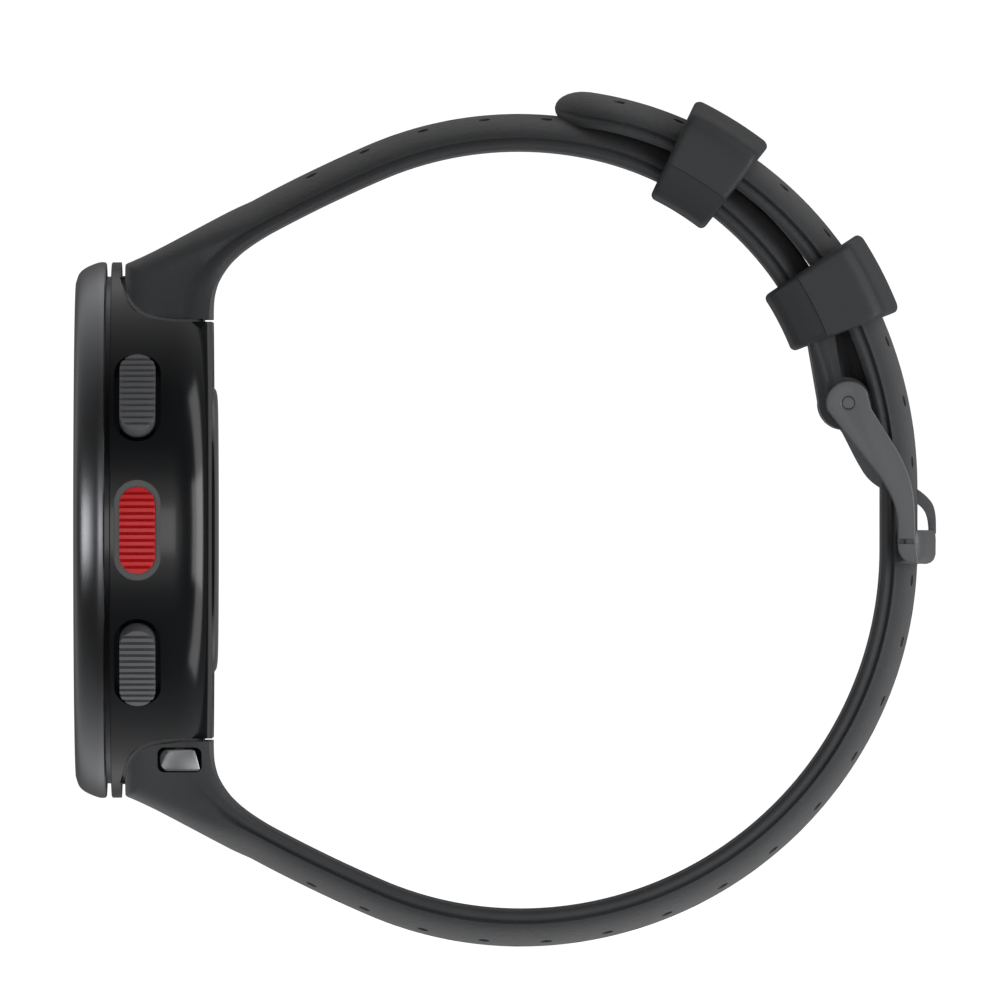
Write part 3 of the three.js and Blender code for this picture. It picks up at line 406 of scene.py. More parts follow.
def joined(name, parts):
    """Joins parts into the first one, under a new name."""
    pick(parts[0])
    for part in parts:
        part.select_set(True)
    bpy.ops.object.join()
    parts[0].name = parts[0].data.name = name
    return parts[0]


dial = joined("dial_marks", dial_parts)

# The segments that the panel turns pale: even and matt, a little uneven at the size of a cell.
marks, marks_shader = new_finish("light display segments", "#dfe6e2", 0.45)
grain(marks, marks_shader, 0.14, 0.001, spread=0.05)
finished(dial, marks)
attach(dial, "watch")

# ---- Case middle --------------------------------------------------------
# The body that holds the works: fibre-reinforced plastic, injection moulded and polished
# to a black gloss. Its flange carries the bezel, and two seats are cut for the strap ends.

FLANGE_FRONT = -8.91
FLANGE_BACK = -8.07
BACK_PLANE = -0.42
SEAT_HEIGHT = 17.45
UPSTAND_INNER, UPSTAND_OUTER, UPSTAND_FRONT = 20.0, 21.3, -9.81
CAVITY_RADIUS, CAVITY_FRONT = 15.0, -8.0
LIP_FRONT, LIP_BACK = -3.0, -2.3
LIP_RADIUS = 12.9
COVER_SEAT_RADIUS = 16.7
DISPLAY_HOLE = 17.9
LUG_HALF, LUG_ROOT, LUG_TOP, LUG_BACK = 8.0, 16.5, 21.3, -1.12
LUG_BORE = 1.4
BUTTON_DEPTH = -6.57
BUTTON_LENGTH, BUTTON_WIDTH = 7.8, 3.3
BUTTON_FACE = 23.4
BUTTON_PLACES = {"up": 30, "start": 0, "down": -30, "light": 150, "back": 210}
POCKET_GAP, POCKET_DEPTH = 0.3, 1.3
BAR_DEPTH, BAR_HEIGHT = -3.1, 19.1


def carve(piece, tool, operation="DIFFERENCE"):
    """Cuts a tool from a piece, or joins it, with an exact Boolean modifier, and removes the tool."""
    pick(piece)
    bpy.ops.object.modifier_add(type="BOOLEAN")
    cut = piece.modifiers[-1]
    cut.operation, cut.object, cut.solver = operation, tool, "EXACT"
    bpy.ops.object.modifier_apply(modifier=cut.name)
    bpy.data.objects.remove(tool)


def slab(name, side_outline, low, high):
    """A side outline of (depth, height) points, as thick as the span from low to high across the watch."""
    piece = outline(name, [(low, depth, height) for depth, height in side_outline], filled=True)
    bpy.ops.object.mode_set(mode="EDIT")
    bpy.ops.mesh.select_all(action="SELECT")
    bpy.ops.mesh.extrude_region_move(TRANSFORM_OT_translate={"value": (high - low, 0, 0)})
    tidy_mesh()
    return piece


def rod(name, radius, low, high, depth, height, sides=48):
    """A round rod across the watch, at a depth and height of the side view."""
    clear()
    bpy.ops.mesh.primitive_cylinder_add(vertices=sides, radius=radius, depth=high - low,
                                        location=((low + high) / 2, depth, height),
                                        rotation=(0, math.radians(90), 0))
    piece = bpy.context.active_object
    piece.name = piece.data.name = name
    bpy.ops.object.transform_apply(location=True, rotation=True, scale=True)
    return piece


def pill(name, length, width, low, high, degrees):
    """An oblong block standing out from the case axis, between two radii, at an angle from 3 o'clock."""
    clear()
    bpy.ops.mesh.primitive_cylinder_add(vertices=64, radius=width / 2, depth=high - low,
                                        location=((low + high) / 2, BUTTON_DEPTH, 0),
                                        rotation=(0, math.radians(90), 0))
    piece = bpy.context.active_object
    piece.name = piece.data.name = name
    bpy.ops.object.transform_apply(location=True, rotation=True, scale=True)
    for vertex in piece.data.vertices:
        vertex.co.z += math.copysign((length - width) / 2, vertex.co.z)
    piece.data.transform(Matrix.Rotation(math.radians(-degrees), 4, "Y"))
    return piece


shoulder = smooth_through([
    (CASE_RADIUS, FLANGE_FRONT + 0.1), (CASE_RADIUS, -5.0), (CASE_RADIUS, -3.4), (CASE_RADIUS - 0.22, -2.3),
    (CASE_RADIUS - 0.62, -1.35), (CASE_RADIUS - 1.15, -0.72), (CASE_RADIUS - 1.8, BACK_PLANE)], 4)
case = turned("case_body", [
    (DISPLAY_HOLE, FLANGE_FRONT), (UPSTAND_INNER, FLANGE_FRONT), (UPSTAND_INNER, UPSTAND_FRONT),
    (UPSTAND_OUTER, UPSTAND_FRONT), (UPSTAND_OUTER, FLANGE_FRONT),
    (CASE_RADIUS - 0.1, FLANGE_FRONT), *shoulder,
    (COVER_SEAT_RADIUS, BACK_PLANE), (COVER_SEAT_RADIUS, LIP_BACK), (LIP_RADIUS, LIP_BACK),
    (LIP_RADIUS, LIP_FRONT), (CAVITY_RADIUS, LIP_FRONT), (CAVITY_RADIUS, CAVITY_FRONT),
    (DISPLAY_HOLE, CAVITY_FRONT)])

SEAT_CURVE = [(FLANGE_BACK + 4.5, 0), (FLANGE_BACK + 2.35, 0.35), (FLANGE_BACK + 1.15, 1.05),
              (FLANGE_BACK + 0.45, 2.05), (FLANGE_BACK, 3.5)]
for side in (1, -1):
    seat = [(BACK_PLANE + 1, SEAT_HEIGHT)]
    seat += [(depth, SEAT_HEIGHT + rise) for depth, rise in smooth_through(SEAT_CURVE, 4)]
    seat += [(FLANGE_BACK, 30), (BACK_PLANE + 1, 30)]
    carve(case, slab("seat_tool", [(depth, side * height) for depth, height in seat], -30, 30))
    lug = slab("lug", [(FLANGE_BACK - 0.2, side * LUG_ROOT), (LUG_BACK, side * LUG_ROOT),
                       (LUG_BACK, side * (LUG_TOP - 1.4)), (LUG_BACK - 0.4, side * (LUG_TOP - 0.4)),
                       (LUG_BACK - 1.4, side * LUG_TOP), (FLANGE_BACK - 0.2, side * LUG_TOP)],
               -LUG_HALF, LUG_HALF)
    round_edges(lug, 0.35)
    carve(lug, rod("bore_tool", LUG_BORE, -LUG_HALF - 1, LUG_HALF + 1, BAR_DEPTH, side * BAR_HEIGHT))
    carve(case, lug, "UNION")
for name, degrees in BUTTON_PLACES.items():
    carve(case, pill("pocket_tool", BUTTON_LENGTH + 2 * POCKET_GAP, BUTTON_WIDTH + 2 * POCKET_GAP,
                     CASE_RADIUS - POCKET_DEPTH, CASE_RADIUS + 2, degrees))

# Gloss plastic, moulded in a polished tool: mirror-like, with a slow ripple a few millimetres
# wide where the wall shrank.
gloss_black, gloss_shader = new_finish("gloss black moulded plastic", "#121315", 0.16, ior=1.52)
grain(gloss_black, gloss_shader, 3.0, 0.004, spread=0.03)
finished(case, gloss_black, 20)
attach(case, "watch")
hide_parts("case_middle")

# ---- Case cover and sensor window ---------------------------------------
# The back: a moulded plate held by four screws, with four charging contacts near 6 o'clock.
# The raised window over the heart-rate sensor is dark polymer glass with a soft edge.

COVER_RADIUS = 16.4
WINDOW_RADIUS, WINDOW_TOP, WINDOW_FRONT = 12.05, 10.5, -1.12
SCREW_CIRCLE, SCREW_HOLE = 14.4, 1.2
CONTACT_PITCH, CONTACT_HOLE = 2.2, 0.75


def peg(name, radius, depth, place, sides=24):
    """A round peg along the case axis, of that depth, with its middle at a place."""
    clear()
    bpy.ops.mesh.primitive_cylinder_add(
        vertices=sides, radius=radius, depth=depth, rotation=(math.radians(90), 0, 0), location=place)
    piece = bpy.context.active_object
    piece.name = piece.data.name = name
    return piece


cover = turned("cover_plate", [
    (9.0, -1.65), (9.0, -1.42), (WINDOW_RADIUS + 0.3, -1.42), (WINDOW_RADIUS + 0.3, -0.5),
    (WINDOW_RADIUS + 0.42, BACK_PLANE), (COVER_RADIUS - 0.15, BACK_PLANE), (COVER_RADIUS, -0.57),
    (COVER_RADIUS, -1.65)])
for corner in (45, 135, 225, 315):
    turn = math.radians(corner)
    place = (SCREW_CIRCLE * math.cos(turn), -0.67, SCREW_CIRCLE * math.sin(turn))
    carve(cover, peg("screw_tool", SCREW_HOLE, 1.0, place, 32))
for step in (-1.5, -0.5, 0.5, 1.5):
    carve(cover, peg("contact_tool", CONTACT_HOLE, 3, (step * CONTACT_PITCH, -1.0, -SCREW_CIRCLE)))
round_edges(cover, 0.05, 2, 40)

# Satin plastic from a blasted tool: a fine even grain takes the mirror off the gloss.
satin_black, satin_shader = new_finish("satin black moulded plastic", "#1b1c1e", 0.42, ior=1.5)
grain(satin_black, satin_shader, 0.12, 0.004, spread=0.06)
finished(cover, satin_black)
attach(cover, "watch")
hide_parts("case_cover")

window_edge = smooth_through([
    (WINDOW_TOP, 0), (WINDOW_RADIUS - 0.9, -0.03), (WINDOW_RADIUS - 0.35, -0.14),
    (WINDOW_RADIUS, BACK_PLANE)], 4)
window = turned("heart_rate_window", [
    (0, 0), *window_edge, (WINDOW_RADIUS, WINDOW_FRONT), (0, WINDOW_FRONT)])

# Tinted polymer glass: near black, with the sensor's lamps and its light barrier showing
# through as a round eye of dark glass between paler rings.
tinted, tinted_shader = new_finish("tinted polymer glass", "#0c0d0f", 0.06, ior=1.5, **{"Coat Weight": 0.4})
share = add_node(tinted, "ShaderNodeMapRange", None, {"From Max": WINDOW_RADIUS * MM},
                 {"Value": from_axis(tinted).outputs["Value"]})
rings = add_node(tinted, "ShaderNodeValToRGB", links={0: share.outputs[0]})
rings.color_ramp.interpolation = "CONSTANT"
set_stops(rings.color_ramp, [(position, linear(shade)) for position, shade in (
    (0, "#26302b"), (0.13, "#0a0b0c"), (0.30, "#202226"), (0.58, "#08090a"), (0.62, "#121316"),
    (1, "#0b0c0d"))])
tinted.node_tree.links.new(rings.outputs[0], tinted_shader.inputs["Base Color"])
finished(window, tinted)
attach(window, "watch")
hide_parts("sensor_window")

# ---- Buttons ------------------------------------------------------------
# Five oblong caps, each moulded with cross ribs from edge to edge, on a stem through the
# case wall. The middle one on the 3 o'clock side is moulded in red.

RIB_PITCH = 0.56
RIB_COUNT = 11
GROOVE_WIDTH, GROOVE_DEPTH, GROOVE_RUNOUT = 0.26, 0.34, 0.1
CAP_LENGTH, CAP_WIDTH, CAP_BACK = 7.25, 3.0, 21.75
STEM_RADIUS, STEM_END = 0.8, 18.6

cap = pill("cap", CAP_LENGTH, CAP_WIDTH, CAP_BACK, BUTTON_FACE + 1, 0)
carve(cap, peg("face_tool", BUTTON_FACE, 8, (0, BUTTON_DEPTH, 0), 360), "INTERSECT")
round_edges(cap, 0.22, 4, 50)
for rib in range(RIB_COUNT + 1):
    along = (rib - RIB_COUNT / 2) * RIB_PITCH
    past_straight = max(abs(along) - (CAP_LENGTH - CAP_WIDTH) / 2, 0)
    half = math.sqrt((CAP_WIDTH / 2 + GROOVE_RUNOUT) ** 2 - past_straight ** 2)
    reach = math.sqrt(BUTTON_FACE ** 2 - along ** 2)
    groove = peg("groove_tool", GROOVE_WIDTH / 2, 2 * half, (reach, BUTTON_DEPTH, along), 16)
    groove.scale = (2 * GROOVE_DEPTH / GROOVE_WIDTH, 1, 1)
    carve(cap, groove)
carve(cap, rod("stem", STEM_RADIUS, STEM_END, CAP_BACK + 0.2, BUTTON_DEPTH, 0, 24), "UNION")

# Grey moulded nylon, satin from a blasted tool; the red one is the same in a clear signal red.
grey_cap, grey_shader = new_finish("satin grey moulded nylon", "#58595b", 0.42)
grain(grey_cap, grey_shader, 0.1, 0.004, spread=0.06)
red_cap, red_shader = new_finish("satin red moulded nylon", "#bd161c", 0.38)
grain(red_cap, red_shader, 0.1, 0.004, spread=0.05)
for name, degrees in BUTTON_PLACES.items():
    button = cap.copy()
    button.data = cap.data.copy()
    button.name = button.data.name = f"{name}_cap"
    scene.collection.objects.link(button)
    button.data.transform(Matrix.Rotation(math.radians(-degrees), 4, "Y"))
    finished(button, red_cap if name == "start" else grey_cap, 40)
    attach(button, f"{name}_button")
    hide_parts(f"{name}_button")
bpy.data.objects.remove(cap)

# ---- Strap halves -------------------------------------------------------
# Liquid silicone, compression moulded: a domed outer face with rows of small pits, a hollow
# wrist side and a thin ridge along each edge. Each end is forked over a lug of the case.

HALF_WIDTH, THICKNESS = 10.0, 3.2
HOLLOW, CREASE = 1.35, 1.05
DOME_HALF, DOME_BROAD, DOME_HIGH = 9.74, 2.6, 1.7
END_HALF_WIDTH, END_HEIGHT = 13.76, 17.7
FLARE, FLARE_REACH = 15.5, 26
RING_STEP = 0.8
TIP_LENGTH, TIP_DEPTH = 5.5, 2.6
TAIL_SHORTER = 0.45
PIT_PITCH, FIRST_PIT = 4.78, 9.36
PIT_ROWS = {6.3: 0.0, 3.1: PIT_PITCH / 2}
PIT_RADIUS, PIT_STRETCH, PIT_DEPTH, PIT_TOOL_DEPTH = 0.5, 1.3, 0.45, 1.4
SEAT_PLAY = 0.2
MORTISE_HALF, MORTISE_BACK, MORTISE_TOP = 8.3, -0.82, 21.6
POCKET_FLOOR, POCKET_ROUNDING = 10.3, 0.55
BAR_BORE = 0.9

# The route of each half in the side view: tangent arcs as (radius, degrees), and a straight as its length.
ROUTE_START, ROUTE_HEADING = Vector((0.83, 22.82)), 30.35
ROUTES = {
    "short": [(118.4, 7.1), (28.7, 35.9), (25.2, 68.5)],
    "long": [(118.4, 7.1), (29.15, 23.25), (30.154, 90), 5.235, (33, 24.26), (28.47, 63.6)],
}


def on_route(half, station):
    """The point of the wrist side at a station in (depth, height), and the outward direction there.
    Both halves are given as if they started at 12 o'clock and bent down."""
    place, heading = ROUTE_START.copy(), math.radians(ROUTE_HEADING)
    for piece in ROUTES[half]:
        if isinstance(piece, tuple):
            radius, length = piece[0], piece[0] * math.radians(piece[1])
        else:
            radius, length = None, piece
        run = station if piece is ROUTES[half][-1] else min(station, length)
        if radius is None:
            place += run * Vector((math.cos(heading), math.sin(heading)))
        else:
            after = heading - run / radius
            place += radius * Vector((math.sin(heading) - math.sin(after),
                                      math.cos(after) - math.cos(heading)))
            heading = after
        station -= run
        if station <= 0:
            break
    return place, Vector((-math.sin(heading), math.cos(heading)))


def route_length(half):
    """The whole length of a half's route."""
    return sum(p[0] * math.radians(p[1]) if isinstance(p, tuple) else p for p in ROUTES[half])


def strap_section(fullness):
    """The right half of the strap's section as (half width, lift) from the middle of the wrist side to the
    middle of the outer face. Fullness goes from 0, the domed strap, to 1, its square end."""
    points = []
    for step in range(9):
        across = HALF_WIDTH * 0.93 * step / 8
        points.append((across, HOLLOW * (1 - (across / HALF_WIDTH) ** 2) * (1 - fullness)))
    ridge = [(9.7, 0.1), (9.9, 0.25), (9.98, 0.4), (HALF_WIDTH, 0.52), (9.93, 0.66), (9.75, 0.8),
             (9.5, 0.93), (9.38, CREASE)]
    points += [(x + (HALF_WIDTH - x) * 0.7 * fullness, lift) for x, lift in ridge]
    crown = DOME_HALF + 0.22 * fullness
    broad, high = 2 / (DOME_BROAD + 7 * fullness), 2 / (DOME_HIGH + 8 * fullness)
    for step in range(1, 19):
        angle = math.pi / 2 * step / 18
        across = crown * max(math.cos(angle), 0) ** broad
        points.append((across, CREASE + 0.06 + (THICKNESS - CREASE - 0.06) * math.sin(angle) ** high))
    return points


def flare(height):
    """The strap end's half width at a height over the case's centre."""
    share = min(max((height - END_HEIGHT) / FLARE, 0), 1)
    return HALF_WIDTH + (END_HALF_WIDTH - HALF_WIDTH) * (1 - share) ** 2.7


def strap_ring(inner, outward, thickness, fullness=0.0, narrow=1.0):
    """One closed ring of the strap: its section stood on a point of the wrist side."""
    half = strap_section(fullness)
    ring = []
    for x, lift in half + [(-x, lift) for x, lift in reversed(half[1:-1])]:
        place = inner + outward * lift * thickness / THICKNESS
        width = flare(place.y) if place.x < FLARE_REACH else HALF_WIDTH
        ring.append((x / HALF_WIDTH * width * narrow, place.x, place.y))
    return ring


# The strap end in the side view: pairs of a point on its wrist side and one on its outer face.
END_RINGS = [
    ((-0.44, 15.5), (-7.73, 15.5)), ((-0.43, 17.4), (-7.73, 19.6)), ((-0.40, 18.2), (-7.73, 21.9)),
    ((-0.34, 18.9), (-7.62, 22.32)), ((-0.24, 19.5), (-7.2, 22.52)), ((-0.06, 20.15), (-6.3, 22.93)),
    ((0.2, 20.85), (-5.1, 23.52)), ((0.6, 21.6), (-3.7, 24.26)), ((1.2, 22.42), (-2.1, 25.12)),
    ((2.1, 23.28), (-0.35, 26.06)), ((3.15, 24.05), (1.3, 26.92)),
]
END_STATION = 4.0


def swept(name, rings):
    """A closed band through the rings: a grid primitive rolled up, its seam merged and its ends filled."""
    clear()
    bpy.ops.mesh.primitive_grid_add(x_subdivisions=len(rings[0]), y_subdivisions=len(rings) - 1)
    piece = bpy.context.active_object
    piece.name = piece.data.name = name
    places = [point for ring in rings for point in (*ring, ring[0])]
    for vertex, point in zip(piece.data.vertices, places):
        vertex.co = point
    bpy.ops.object.mode_set(mode="EDIT")
    bpy.ops.mesh.select_all(action="SELECT")
    bpy.ops.mesh.remove_doubles(threshold=0.001)
    bpy.ops.mesh.fill_holes(sides=0)
    tidy_mesh(0.001)
    return piece


def strap_rings(half):
    """The rings of one strap half, from inside the case's seat to its free end."""
    first, outward = on_route(half, END_STATION)
    pairs = [(Vector(a), Vector(b)) for a, b in END_RINGS]
    pairs.append((first, first + outward * THICKNESS))
    inners = [Vector(p) for p in smooth_through([a for a, b in pairs], 3)]
    outers = [Vector(p) for p in smooth_through([b for a, b in pairs], 3)]
    rings = []
    for i, (inner, outer) in enumerate(zip(inners, outers)):
        share = i / (len(inners) - 1)
        fullness = 1 - share * share * (3 - 2 * share)
        rings.append(strap_ring(inner, (outer - inner).normalized(), (outer - inner).length, fullness))
    length = route_length(half)
    last = length - (TIP_LENGTH + TAIL_SHORTER if half == "long" else 0.3)
    count = round((last - END_STATION) / RING_STEP)
    for i in range(1, count + 1):
        inner, outward = on_route(half, END_STATION + (last - END_STATION) * i / count)
        rings.append(strap_ring(inner, outward, THICKNESS))
    if half == "long":
        for degrees in range(8, 90, 8):
            turn = math.radians(degrees)
            run = TIP_LENGTH * math.sin(turn)
            inner, outward = on_route(half, last + run)
            thin = THICKNESS * math.sqrt(1 - max(run / TIP_DEPTH + 1 - TIP_LENGTH / TIP_DEPTH, 0) ** 2)
            inner = inner + outward * (THICKNESS - thin) * 0.5
            rings.append(strap_ring(inner, outward, thin, 0, math.cos(turn) ** 0.8))
    return rings


def beside_route(half, station, across, lift):
    """A matrix that stands a tool on the strap: X across it, Y outwards and Z along it."""
    inner, outward = on_route(half, station)
    place = inner + outward * lift
    out = Vector((0, outward.x, outward.y))
    run = Vector((0, -outward.y, outward.x))
    turn = Matrix((Vector((1, 0, 0)), out, run)).transposed().to_4x4()
    return Matrix.Translation((across, place.x, place.y)) @ turn


def pit_tools(half, last):
    """The pits of one half as one tool: short oval pegs over the outer face."""
    pit = peg("pit", PIT_RADIUS, PIT_TOOL_DEPTH, (0, 0, 0), 12)
    pit.scale = (1.0, 1.0, PIT_STRETCH)
    bpy.ops.object.transform_apply(location=True, rotation=True, scale=True)
    pegs = []
    for across, shift in PIT_ROWS.items():
        dome = CREASE + (THICKNESS - CREASE) * (1 - (across / DOME_HALF) ** DOME_BROAD) ** (1 / DOME_HIGH)
        lift = dome + PIT_TOOL_DEPTH / 2 - PIT_DEPTH
        station = FIRST_PIT + shift
        while station < last:
            for side in (1, -1):
                copy = pit.copy()
                copy.data = pit.data.copy()
                scene.collection.objects.link(copy)
                copy.data.transform(beside_route(half, station, side * across, lift))
                pegs.append(copy)
            station += PIT_PITCH
    bpy.data.objects.remove(pit)
    return joined("pit_tool", pegs)


def fit_end(piece, side):
    """Cuts a strap end to the case: its seat, the mortise for the lug and the lever's pocket."""
    seat = [(0.5, END_HEIGHT)]
    seat += [(depth + SEAT_PLAY, END_HEIGHT + rise) for depth, rise in smooth_through(SEAT_CURVE, 4)]
    seat += [(-9, END_HEIGHT + 3.6), (-9, 14), (0.5, 14)]
    carve(piece, slab("seat_tool", seat, -16, 16))
    mortise = [(-9, 15), (MORTISE_BACK, 15), (MORTISE_BACK, MORTISE_TOP), (-9, MORTISE_TOP)]
    carve(piece, slab("mortise_tool", mortise, -MORTISE_HALF, MORTISE_HALF))
    pocket = slab("pocket_tool", [(-4.98, 18.18), (-1.26, 18.18), (-1.26, 20.28), (-4.98, 20.28)],
                  *sorted((side * POCKET_FLOOR, side * 16)))
    round_edges(pocket, POCKET_ROUNDING, 4)
    carve(piece, pocket)
    carve(piece, rod("tip_tool", BAR_BORE, -10.2, 10.6, BAR_DEPTH, BAR_HEIGHT, 24))


# Silicone rubber from a spark-eroded tool: dry and matt, with a leathery grain about 0.5 mm
# wide that breaks up the light, and a little dust-like sheen at grazing angles.
silicone, silicone_shader = new_finish("matt grained silicone rubber", "#343537", 0.62, ior=1.42, **{
    "Sheen Weight": 0.12, "Sheen Roughness": 0.5})
place = grain(silicone, silicone_shader, 0.55, 0.02, spread=0.05, kind="ShaderNodeTexVoronoi")
cloud = add_node(silicone, "ShaderNodeTexNoise", None, {"Scale": 1 / (4 * MM), "Detail": 3.0},
                 {"Vector": place.outputs["Object"]})
tone = add_node(silicone, "ShaderNodeMix", {"data_type": "RGBA"}, {
    6: linear("#303133"), 7: linear("#38393b")}, {0: cloud.outputs[0]})
silicone.node_tree.links.new(tone.outputs[2], silicone_shader.inputs["Base Color"])


def joint_place(name):
    """A point on a CAD joint's axis, in millimetres."""
    return Vector(next(j for j in frame["joints"] if j["name"] == name)["pos_m"]) / MM


pin_centre = joint_place("frame_pivot")
BOSS_RADIUS, BOSS_LIFT = 2.2, 1.72
NECK_LENGTH = 5.5
WEB_HALF_WIDTH, WEB_LIFT, WEB_GAP = 5.5, 2.6, 0.1
PIN_BORE = 0.83
TONGUE_SLOT = (2.7, 9, 8)
TONGUE_STATION = 78.55
LAST_SHORT_PIT = 36
PITS_END_BEFORE_TIP = 3.6
HOLE_LENGTH, HOLE_WIDTH = 3.0, 2.6
HOLES_BEFORE, HOLES_AFTER = 3, 8

strap_short = swept("strap_short", strap_rings("short"))
fit_end(strap_short, -1)
carve(strap_short, pit_tools("short", LAST_SHORT_PIT))
boss_inner, boss_out = on_route("short", route_length("short"))
boss_centre = boss_inner + boss_out * BOSS_LIFT
boss_half = HALF_WIDTH - 0.3
boss = rod("boss", BOSS_RADIUS, -boss_half, boss_half, boss_centre.x, boss_centre.y, 64)
carve(strap_short, boss, "UNION")
neck_inner, neck_out = on_route("short", route_length("short") - NECK_LENGTH)
neck = slab("neck", [tuple(neck_inner + neck_out * 0.1), tuple(neck_inner + neck_out * 2.4),
                     tuple(boss_centre), tuple(boss_centre - boss_out * BOSS_RADIUS * 0.97)],
            -boss_half, boss_half)
carve(strap_short, neck, "UNION")
crest = [on_route("short", route_length("short") - back) for back in (0, 3, 6, 9, 11)]
under_tail = [on_route("long", TONGUE_STATION + run) for run in (16.4, 14.6, 12.8, 11.0, 9.4, 8.0)]
web = slab("web", [tuple(inner + out * WEB_LIFT) for inner, out in crest]
           + [(inner.x + out.x * WEB_GAP, -inner.y - out.y * WEB_GAP) for inner, out in under_tail],
           -WEB_HALF_WIDTH, WEB_HALF_WIDTH)
carve(strap_short, web, "UNION")
carve(strap_short, rod("pin_tool", PIN_BORE, -14, 14, pin_centre.y, pin_centre.z, 32))
clear()
bpy.ops.mesh.primitive_cube_add(size=1, location=(0, pin_centre.y, pin_centre.z - 1.9))
slot_tool = bpy.context.active_object
slot_tool.scale = TONGUE_SLOT
bpy.ops.object.transform_apply(location=True, rotation=True, scale=True)
carve(strap_short, slot_tool)
finished(strap_short, silicone, 38)
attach(strap_short, "watch")
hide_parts("strap_short_half")

strap_long = swept("strap_long", strap_rings("long"))
fit_end(strap_long, 1)
carve(strap_long, pit_tools("long", route_length("long") - PITS_END_BEFORE_TIP))
for step in range(-HOLES_BEFORE, HOLES_AFTER + 1):
    hole = pill("hole_tool", HOLE_LENGTH, HOLE_WIDTH, -4, 4, 0)
    hole.data.transform(Matrix.Translation((BUTTON_DEPTH, 0, 0)) @ Matrix.Rotation(math.radians(90), 4, "Z"))
    hole.data.transform(beside_route("long", TONGUE_STATION + step * PIT_PITCH, 0, THICKNESS / 2))
    carve(strap_long, hole)
strap_long.data.transform(Matrix.Scale(-1, 4, (0, 0, 1)))
pick(strap_long)
bpy.ops.object.mode_set(mode="EDIT")
tidy_mesh(0.0005)
finished(strap_long, silicone, 38)
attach(strap_long, "watch")
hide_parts("strap_long_half")

# ---- Keepers ------------------------------------------------------------
# Two free loops of the same silicone, moulded with a smoother skin. Each has a flat wrist
# side, a crease along its flanks and an arched bridge over the tail.

KEEPER_WIDTH = 5.55
KEEPER_STATIONS = {"keeper_upper": 41.1, "keeper_lower": 54.7}
KEEPER_INSIDE_HALF, KEEPER_WALL = 10.3, 1.1
KEEPER_FLOOR = 1.05
KEEPER_ROUNDING = 0.5
BAND_STEPS, CORNER_STEPS = 6, 6
STRAP_PLAY = 0.3

# Silicone from a smoother tool than the strap's: flatter, and a little glossier.
keeper_skin, keeper_shader = new_finish("smooth matt silicone rubber", "#323335", 0.5, ior=1.42)
grain(keeper_skin, keeper_shader, 0.5, 0.008, spread=0.05)


def keeper_band(name, station, width, corners, rounding=0.0):
    """A band across the short half at a station, from its right half section as (half width, lift) points.
    Rounding is the radius of its outer edges."""
    rings = []
    section = corners + [(-x, lift) for x, lift in reversed(corners) if x > 0]
    middle = (corners[0][1] + corners[-1][1]) / 2
    across, tall = max(x for x, lift in corners), abs(corners[0][1] - middle)
    for step in range(-BAND_STEPS - CORNER_STEPS, BAND_STEPS + CORNER_STEPS + 1):
        turn = math.radians(90) * max(abs(step) - BAND_STEPS, 0) / CORNER_STEPS
        run = (width / 2 - rounding) * min(abs(step), BAND_STEPS) / BAND_STEPS + rounding * math.sin(turn)
        inset = rounding * (1 - math.cos(turn))
        inner, outward = on_route("short", station + math.copysign(run, step))
        ring = []
        for x, lift in section:
            place = inner + outward * (middle + (lift - middle) * (1 - inset / tall))
            ring.append((x * (1 - inset / across), place.x, place.y))
        rings.append(ring)
    return swept(name, rings)


for name, station in KEEPER_STATIONS.items():
    bend, bend_radius = joint_place(f"{name}_slide"), ROUTES["short"][-1][0]
    corners = [v.co / MM for v in frame["nodes"][name].data.vertices]
    top = max(math.hypot(c.y - bend.y, c.z - bend.z) for c in corners) - bend_radius
    inside = top - KEEPER_FLOOR
    bottom = -STRAP_PLAY - KEEPER_FLOOR
    outer_half = KEEPER_INSIDE_HALF + KEEPER_WALL
    flank = smooth_through([(outer_half - 2.3, bottom), (outer_half - 1.3, bottom + 0.2),
                            (outer_half - 0.6, bottom + 0.85)], 4)
    flank.append((outer_half - 0.14, bottom + 3.0))
    bridge = smooth_through([
        (outer_half, bottom + 3.1), (outer_half - 0.1, top - 3.2), (outer_half - 0.42, top - 1.9),
        (outer_half - 1.5, top - 1.05), (6.2, top - 0.38), (3, top - 0.1), (0, top)], 4)
    hole_top = smooth_through([(KEEPER_INSIDE_HALF, inside - 1.9), (KEEPER_INSIDE_HALF - 1.2, inside - 0.75),
                               (5.5, inside - 0.25), (0, inside)], 4)
    loop = keeper_band(f"{name}_loop", station, KEEPER_WIDTH,
                       [(0, bottom), *flank, *bridge], KEEPER_ROUNDING)
    hole = keeper_band("hole_tool", station, KEEPER_WIDTH + 2,
                       [(0, -STRAP_PLAY), (KEEPER_INSIDE_HALF, -STRAP_PLAY), *hole_top])
    carve(loop, hole)
    finished(loop, keeper_skin, 40)
    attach(loop, name)
    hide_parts(name)

# ---- Buckle -------------------------------------------------------------
# A stamped stainless frame and tongue with a dark grey vapour-deposited coat, which turn on
# a pin through the end of the short half. The pin's ends are riveted flush with the arms.

ARM_INNER, ARM_OUTER = 10.6, 11.9
ARM_END_RADIUS = 1.85
PIN_RADIUS = 0.75
RIVET_RADIUS, RIVET_PLAY = 0.5, 0.015
ARM_SLOT_DEPTH = 1.0
TONGUE_HALF_WIDTH, TONGUE_EYE_WALL = 0.95, 0.78
BAR_LOW = THICKNESS + 0.3
BAR_DROP, BAR_STEPS = 1.6, 8
BAR_START, BAR_LENGTH = 72.8, 2.7
BAR_ROUNDING = [(0, 0.75), (0.04, 0.42), (0.12, 0.16), (0.26, 0.02), (0.7, 0), (0.93, 0.05), (1, 0.2)]


